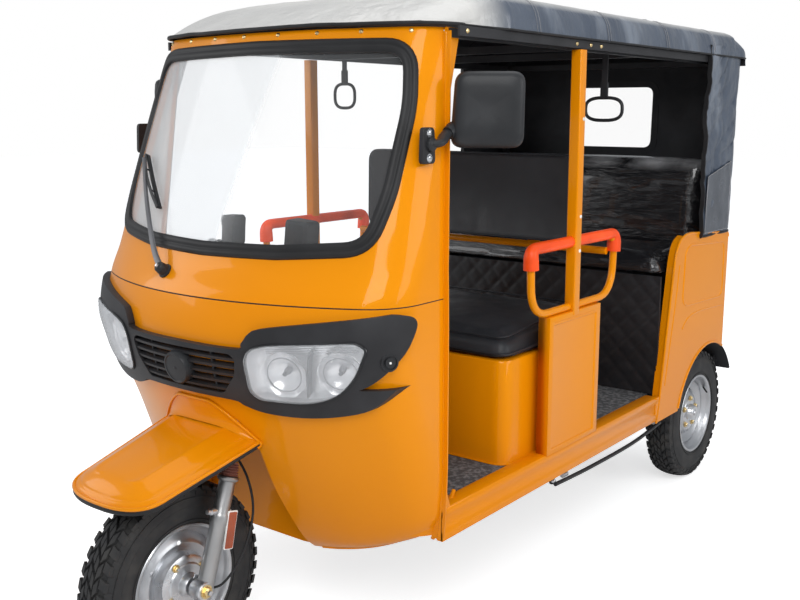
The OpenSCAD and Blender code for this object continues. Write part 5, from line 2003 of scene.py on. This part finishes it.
def grab_straps():
    shape = Shape()
    for x, y, z, half, tall in ((0.490, 0.330, 1.552, 0.069, 0.038), (-0.490, 0.110, 1.600, 0.050, 0.045)):
        strap = [(x, y, z + tall + (1.731 - z - tall) * k / 10) for k in range(11)]
        shape.add(*sweep(strap, bar_section(0.011, 0.0015),
                         up=(0, 1, 0)), BLACK_TRIM)
        oval = [Vector((x + half * math.copysign(abs(math.cos(a)) ** 0.7, math.cos(a)), y,
                        z + tall * math.copysign(abs(math.sin(a)) ** 0.7, math.sin(a))))
                for a in (2 * math.pi * k / 40 for k in range(40))]
        shape.add(*tube(oval, 0.0058, 12, closed=True), BLACK_PLASTIC)
        cuff = [(x, y, z + tall - 0.006 + 0.007 * k) for k in range(9)]
        shape.add(*sweep(cuff, bar_section(0.013, 0.0045),
                         up=(0, 1, 0)), BLACK_PLASTIC)
    shape.make("hanging_grab_straps", slot="plastic_black", replaces=("grab_straps",), sharp=40)


canopy()
curtain()
grab_straps()

# ---------------------------------------------------------------- rear body

ARCH_R = 0.312
PANEL_EDGE = [(0.684, 0.366), (0.703, 0.441), (0.795, 0.990), (0.822, 1.048), (0.880, 1.073), (0.930, 1.076),
              (1.342, 1.046), (1.334, 0.366)]


def quarter_panel(side):
    label = "left" if side > 0 else "right"
    outline = rounded([(y, z, 0) for y, z in PANEL_EDGE], [0.004, 0.02, 0.05, 0.04, 0.04, 0.04, 0.02, 0.02], 5)
    flat = [(p.x, p.y) for p in outline]
    panel = loose(*prism(flat, 0, side * 0.5755, side * 0.580), ORANGE, f"quarter_panel_pressing_{label}")
    arch = [(REAR_AXLE_Y + ARCH_R * math.cos(a), WHEEL_Z + ARCH_R * math.sin(a))
            for a in (2 * math.pi * k / 96 for k in range(96))]
    combine(panel, "DIFFERENCE", loose(*prism(arch, 0, side * 0.4, side * 0.7)))
    extras = Shape()
    x = side * 0.580
    # rolled edges round the panel and the arch
    rim = [Vector((x - side * 0.003, p.x, p.y)) for p in outline if not in_arch(p.x, p.y)]
    rim = [p for p in rim if p.z > 0.40 or p.y < 0.75]
    extras.add(*tube(rim[1:], 0.0055, 10), ORANGE)
    lip = []
    for k in range(61):
        a = math.radians(18 + 146 * k / 60)
        p = Vector((x - side * 0.001, REAR_AXLE_Y + (ARCH_R + 0.003) * math.cos(a),
                    WHEEL_Z + (ARCH_R + 0.003) * math.sin(a)))
        if p.y < 1.336 and p.z > 0.366:
            lip.append(p)
    extras.add(*tube(lip, 0.006, 10), ORANGE)
    extras.add(*sweep([p - Vector((side * 0.016, 0, 0)) for p in lip],
                      bar_section(0.0015, 0.018), up=(1, 0, 0)), ORANGE)
    # pressed field, its lower groove and the crease beside the arch
    field = rounded([(0.880, 0.792, 0), (1.300, 0.778, 0), (1.300, 1.010, 0), (0.930, 1.030, 0),
                     (0.890, 1.005, 0)],
                    [0.05, 0.04, 0.05, 0.05, 0.05], 7)
    extras.add(*sweep([Vector((x, p.x, p.y)) for p in field], half_bead(0.011, 0.0035), closed=True, caps=False,
                      up=(side, 0, 0)), ORANGE)
    lower = smooth_line([(x, 0.890, 0.700), (x, 0.945, 0.735), (x, 1.060, 0.748), (x, 1.310, 0.738)], 8)
    extras.add(*sweep(lower, half_bead(0.010, 0.003), up=(side, 0, 0)), ORANGE)
    crease = smooth_line([(x, 0.745, 0.500), (x, 0.775, 0.640), (x, 0.810, 0.800), (x, 0.838, 0.960)], 8)
    extras.add(*sweep(crease, half_bead(0.012, 0.003), up=(side, 0, 0)), ORANGE)
    # front return of the panel and the vinyl lining behind it
    front = [Vector((x - side * 0.016, p.x, p.y)) for p in outline if p.x < 0.885 and p.y > 0.44]
    extras.add(*sweep(front, bar_section(0.0015, 0.016), up=(1, 0, 0)),
               ORANGE)
    inner = [(min(p.x * 0.985 + 0.016, 1.330), p.y * 0.99 + 0.006) for p in outline]
    lining = loose(*prism(inner, 0, side * 0.5705, side * 0.5735), LINING, "lining")
    combine(lining, "DIFFERENCE", loose(*prism(arch, 0, side * 0.4, side * 0.7)))
    # wheel housing
    housing = []
    for k in range(41):
        a = math.radians(28 + 128 * k / 40)
        housing.append((ARCH_R * math.cos(a), ARCH_R * math.sin(a)))
    shell = [[(side * px, REAR_AXLE_Y + c * (1 + g), WHEEL_Z + s * (1 + g)) for c, s in housing]
             for px, g in ((0.574, 0.0), (0.408, 0.0), (0.404, 0.012), (0.404, 0.022), (0.574, 0.022))]
    extras.add(*loft(shell, closed=False), LINING)
    side_wall = [(REAR_AXLE_Y + c, WHEEL_Z + s) for c, s in housing]
    extras.add(*prism(side_wall, 0, side * 0.404, side * 0.408), LINING)
    details = plain_object(extras, "extras")
    join_pieces(panel, [details, lining])
    panel.name = f"quarter_panel_pressing_{label}"
    shade(panel, 38)
    finish_piece(panel, "body", (f"quarter_panel_{label}",))


def in_arch(y, z):
    return (y - REAR_AXLE_Y) ** 2 + (z - WHEEL_Z) ** 2 < ARCH_R ** 2


def half_bead(width, height):
    return [(-width / 2 + width * k / 8, height * math.sin(math.pi * k / 8) - 0.0005) for k in range(9)][::-1]


BUMPER_Y, BUMPER_Z = 1.425, 0.470
STAY_X = 0.330


def tail():
    plate = loose(*box_mesh((-0.566, 1.344, 0.420), (0.566, 1.349, 1.046)), ORANGE, "tail_panel_pressing")
    cutters = [loose(*box_mesh((s * 0.402 if s > 0 else -0.7, 1.3, 0.40),
                               (0.7 if s > 0 else -0.402, 1.4, 0.616)))
               for s in (-1, 1)]
    for s in (-1, 1):
        cutters.append(loose(*lathe([(-0.02, 0), (-0.02, 0.0035), (0.03, 0.0035), (0.03, 0)],
                                    (s * 0.09, 1.345, 0.70), "y", 20)))
    combine(plate, "DIFFERENCE", *cutters)
    extras = Shape()
    for outline in (((-0.50, 0.83), (0.50, 0.83), (0.50, 1.000), (-0.50, 1.000)),
                    ((-0.17, 0.625), (0.17, 0.625), (0.17, 0.775), (-0.17, 0.775))):
        loop = rounded([(a, 1.3492, b) for a, b in outline], 0.03, 6)
        extras.add(*sweep(loop, half_bead(0.012, 0.0045), closed=True, caps=False, up=(0, 1, 0)), ORANGE)
    extras.add(*tube([(-0.563, 1.350, 1.044), (0, 1.350, 1.044), (0.563, 1.350, 1.044)], 0.006, 10), ORANGE)
    extras.add(*tube([(-0.396, 1.350, 0.424), (0, 1.350, 0.424), (0.396, 1.350, 0.424)], 0.006, 10), ORANGE)
    for s in (-1, 1):
        extras.add(*lathe([(0.0, 0.012), (0.0015, 0.011), (0.0018, 0.004), (0.0, 0.0036)],
                          (s * 0.09, 1.349, 0.70), "y", 24),
                   ALLOY)
    join_pieces(plate, [plain_object(extras)])
    plate.name = "tail_panel_pressing"
    shade(plate, 38)
    finish_piece(plate, "body", ("tail_panel",))
    lamps = Shape()
    for s in (-1, 1):
        x0, x1 = (0.450, 0.540) if s > 0 else (-0.540, -0.450)
        base = rounded(rect(x0, 0.640, x1, 0.790), 0.014, 4)
        cx, cz = (x0 + x1) / 2, 0.715
        rings = [[(cx + (p.x - cx) * k, d, cz + (p.y - cz) * k) for p in base]
                 for d, k in ((1.349, 1.0), (1.366, 1.0), (1.370, 0.96))]
        lamps.add(*loft(rings), BLACK_PLASTIC)
        for z0, z1, material in ((0.650, 0.700, AMBER), (0.703, 0.780, RED_LENS)):
            cell = rounded(rect(x0 + 0.009, z0, x1 - 0.009, z1), 0.008, 4)
            mz = (z0 + z1) / 2
            rings = [[(cx + (p.x - cx) * k, d, mz + (p.y - mz) * k) for p in cell]
                     for d, k in ((1.368, 1.0), (1.378, 0.99), (1.3825, 0.93), (1.384, 0.6))]
            lamps.add(*loft(rings), material)
    lamps.make("tail_lamp_clusters", slot="lamp_red", replaces=("tail_lamps",), sharp=35)
    bumper = Shape()
    bar = smooth_line([(x, BUMPER_Y, BUMPER_Z) for x in (-0.520, -0.30, 0, 0.30, 0.520)], 6)
    bumper.add(*tube(bar, 0.0145, 20), CHASSIS)
    for s in (-1, 1):
        cap = [(-0.012, 0.0155), (0.002, 0.0165), (0.008, 0.015), (0.010, 0.0)]
        bumper.add(*lathe(cap, (s * 0.512, BUMPER_Y, BUMPER_Z), (s, 0, 0), 24), RUBBER)
        stay = [(s * STAY_X, y, BUMPER_Z) for y in (1.350, 1.385, 1.420)]
        bumper.add(*sweep(stay, bar_section(0.018, 0.012), up=(0, 0, 1)),
                   CHASSIS)
        foot = rounded(rect(s * STAY_X - 0.036, 0.435, s * STAY_X + 0.036, 0.505), 0.008, 3)
        bumper.add(*loft([[(p.x, d, p.y) for p in foot] for d in (1.350, 1.356)]), CHASSIS)
        for z in (0.447, 0.493):
            for dx in (-0.025, 0.025):
                merge(bumper, bolt((s * STAY_X + dx, 1.356, z), (0, 1, 0)))
    bumper.make("rear_bumper_tube", slot="chassis_black", replaces=("rear_bumper",), sharp=40)


def running_gear():
    """Axle casing, drums, leaf springs and shackles, seen from behind and below."""
    shape = Shape()
    casing = [(-0.398, 0.0), (-0.398, 0.058), (-0.392, 0.060), (-0.384, 0.034), (-0.372, 0.030),
              (-0.150, 0.030),
              (-0.120, 0.052), (-0.090, 0.088), (-0.045, 0.099), (0.045, 0.099), (0.090, 0.088), (0.120, 0.052),
              (0.150, 0.030), (0.372, 0.030), (0.384, 0.034), (0.392, 0.060), (0.398, 0.058), (0.398, 0.0)]
    shape.add(*lathe(casing, (0, REAR_AXLE_Y, WHEEL_Z), "x", 48), CHASSIS)
    shape.add(*lathe([(-0.540, 0.0), (-0.540, 0.012), (-0.536, 0.0138), (0.536, 0.0138), (0.540, 0.012),
                      (0.540, 0.0)],
                     (0, REAR_AXLE_Y, WHEEL_Z), "x", 24), ALLOY)
    for k in range(10):
        turn = 2 * math.pi * k / 10
        merge(shape, bolt((0.0475, REAR_AXLE_Y + 0.086 * math.cos(turn), WHEEL_Z + 0.086 * math.sin(turn)),
                          (1, 0, 0)))
    longest = 0.31
    for side in (-1, 1):
        for leaf in range(4):
            reach = longest - 0.055 * leaf
            line = []
            for k in range(17):
                s = -1 + 2 * k / 16
                bow = 0.020 * s * s * (reach / longest)
                line.append((side * 0.324, REAR_AXLE_Y - 0.100 + reach * s,
                             WHEEL_Z + 0.046 - 0.0075 * leaf + bow))
            shape.add(*sweep(line, bar_section(0.026, 0.0032),
                             up=(0, 0, 1)), CAST)
        for y in (REAR_AXLE_Y - 0.400, REAR_AXLE_Y + 0.200):
            shape.add(*tube([(side * 0.297, y + 0.01, WHEEL_Z + 0.066),
                             (side * 0.351, y + 0.01, WHEEL_Z + 0.066)], 0.014, 16),
                      CHASSIS)
            for x in (0.300, 0.346):
                corners = ((-0.012, 0.046), (0.032, 0.046), (0.030, 0.096), (-0.010, 0.096))
                hang = rounded([(y + a, WHEEL_Z + b, 0) for a, b in corners], 0.010, 3)
                shape.add(*prism([(p.x, p.y) for p in hang], 0, side * x - 0.002, side * x + 0.002), CHASSIS)
        for y in (-0.026, 0.026):
            loop = [Vector((side * x, REAR_AXLE_Y + y, WHEEL_Z + z))
                    for x, z in ((0.300, 0.055), (0.300, -0.030), (0.348, -0.030), (0.348, 0.055))]
            shape.add(*tube(rounded(loop, 0.016, 5, closed=False), 0.005, 10), ALLOY)
    shape.make("rear_axle_and_leaf_springs", slot="chassis_black", replaces=("rear_axle",), sharp=38)
    rod = Shape()
    rod.add(*tube(smooth_line([(0.545, -0.035, 0.326), (0.548, 0.2, 0.318), (0.546, 0.55, 0.314),
                               (0.530, 0.830, 0.322)], 8),
                  0.0070, 12), CHASSIS)
    lever = rounded([(-0.055, 0.374, 0), (-0.015, 0.374, 0), (-0.022, 0.330, 0), (-0.035, 0.322, 0),
                     (-0.050, 0.330, 0)],
                    0.010, 4)
    rod.add(*prism([(p.x, p.y) for p in lever], 0, 0.530, 0.536), CHASSIS)
    merge(rod, bolt((0.536, -0.035, 0.338), (1, 0, 0), 0.008, 0.008))
    for place in ((0.534, 0.03, 0.3355), (0.521, 0.79, 0.330)):
        rod.add(*lathe([(0.0, 0.0), (0.0, 0.009), (0.03, 0.009), (0.03, 0.0)], place, "y", 12), ALLOY)
    rod.make("brake_rod_and_lever", slot="chassis_black", replaces=("brake_rod",), sharp=40)


for panel_side in (-1, 1):
    quarter_panel(panel_side)
tail()
running_gear()

# The CAD nodes that stay visible and aren't chassis black.
CAD_FINISH = {"wheel_well": ORANGE, "engine_block": CAST}

# ---------------------------------------------------------------- closing

for node in frame["nodes"].values():
    if not node.hide_render:
        node.data.materials.clear()
        node.data.materials.append(CAD_FINISH.get(node["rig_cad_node"], CHASSIS))
